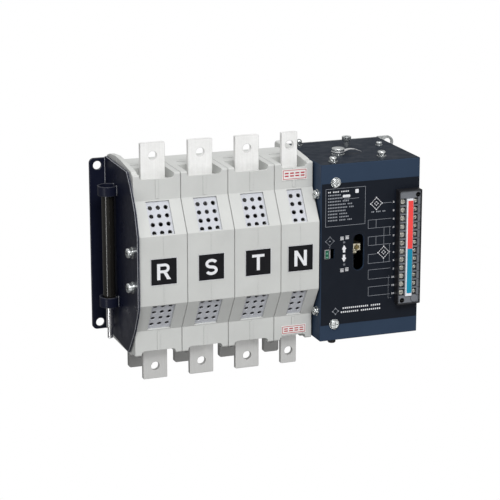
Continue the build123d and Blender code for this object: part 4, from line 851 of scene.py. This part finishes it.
# Name, place, size and power in watts of each light.
SOFT_BOXES = (
    ("key_light", (-0.4, -1.9, 1.65), (1.0, 0.9), 36.0),
    ("fill_light", (1.5, -1.3, 0.6), (0.7, 1.1), 3.0),
    ("top_light", (0.0, 0.3, 1.6), (1.5, 0.9), 5.0),
    ("left_strip", (-1.6, -1.1, -0.5), (0.16, 0.9), 4.0),
    ("right_strip", (0.55, -1.8, -0.5), (0.1, 0.9), 2.5),
)
CAMERA_TARGET = (-0.0168, -0.060, -0.005)
CAMERA_DIRECTION = (-0.3348, -0.9051, 0.2622)
CAMERA_DISTANCE = 2.0575
LENS = 143.15
SENSOR_WIDTH = 36.0


def paper_floor():
    """A wide sheet of white paper below the object."""
    z = cad_bounds[0].z - FLOOR_DROP
    corners = [(side_x * FLOOR_HALF, side_y * FLOOR_HALF, z) for side_x, side_y in CORNERS]
    data = bpy.data.meshes.new("studio_floor")
    data.from_pydata(corners, [], [(0, 1, 2, 3)])
    data.materials.append(floor_paper())
    floor = bpy.data.objects.new("studio_floor", data)
    bpy.context.collection.objects.link(floor)


def white_sky():
    """A white surrounding: full white to the camera, and dimmer as light on the object."""
    world = bpy.data.worlds.new("studio_world")
    world.use_nodes = True
    tree = world.node_tree
    background = tree.nodes["Background"]
    background.inputs["Color"].default_value = WHITE
    ray = tree.nodes.new("ShaderNodeLightPath")
    level = tree.nodes.new("ShaderNodeMath")
    level.operation = "MULTIPLY_ADD"
    tree.links.new(ray.outputs["Is Camera Ray"], level.inputs[0])
    level.inputs[1].default_value = 1.0 - SKY_STRENGTH
    level.inputs[2].default_value = SKY_STRENGTH
    tree.links.new(level.outputs[0], background.inputs["Strength"])
    bpy.context.scene.world = world


def studio_lights():
    """Soft boxes that all aim at the object's middle."""
    centre = (cad_bounds[0] + cad_bounds[1]) / 2
    for name, place, size, power in SOFT_BOXES:
        lamp = bpy.data.lights.new(name, "AREA")
        lamp.shape = "RECTANGLE"
        lamp.size, lamp.size_y = size
        lamp.energy = power
        light = bpy.data.objects.new(name, lamp)
        light.location = place
        light.rotation_euler = (centre - Vector(place)).to_track_quat("-Z", "Y").to_euler()
        bpy.context.collection.objects.link(light)


def photo_camera():
    """The camera: about 20 degrees to the left of the front and 15 degrees above it, from 2 m away."""
    data = bpy.data.cameras.new("photo_camera")
    data.sensor_width = SENSOR_WIDTH
    data.lens = LENS
    data.clip_start = 0.1
    data.clip_end = 100.0
    camera = bpy.data.objects.new("photo_camera", data)
    back = Vector(CAMERA_DIRECTION).normalized()
    camera.location = Vector(CAMERA_TARGET) + back * CAMERA_DISTANCE
    camera.rotation_mode = "QUATERNION"
    camera.rotation_quaternion = (-back).to_track_quat("-Z", "Y")
    bpy.context.collection.objects.link(camera)
    bpy.context.scene.camera = camera


dress_nodes()
phase_letters()
source_marks()
overlay_print()
selector_marks()
paper_floor()
white_sky()
studio_lights()
photo_camera()
bpy.context.scene.view_settings.view_transform = "Standard"
bpy.context.scene.view_settings.look = "None"
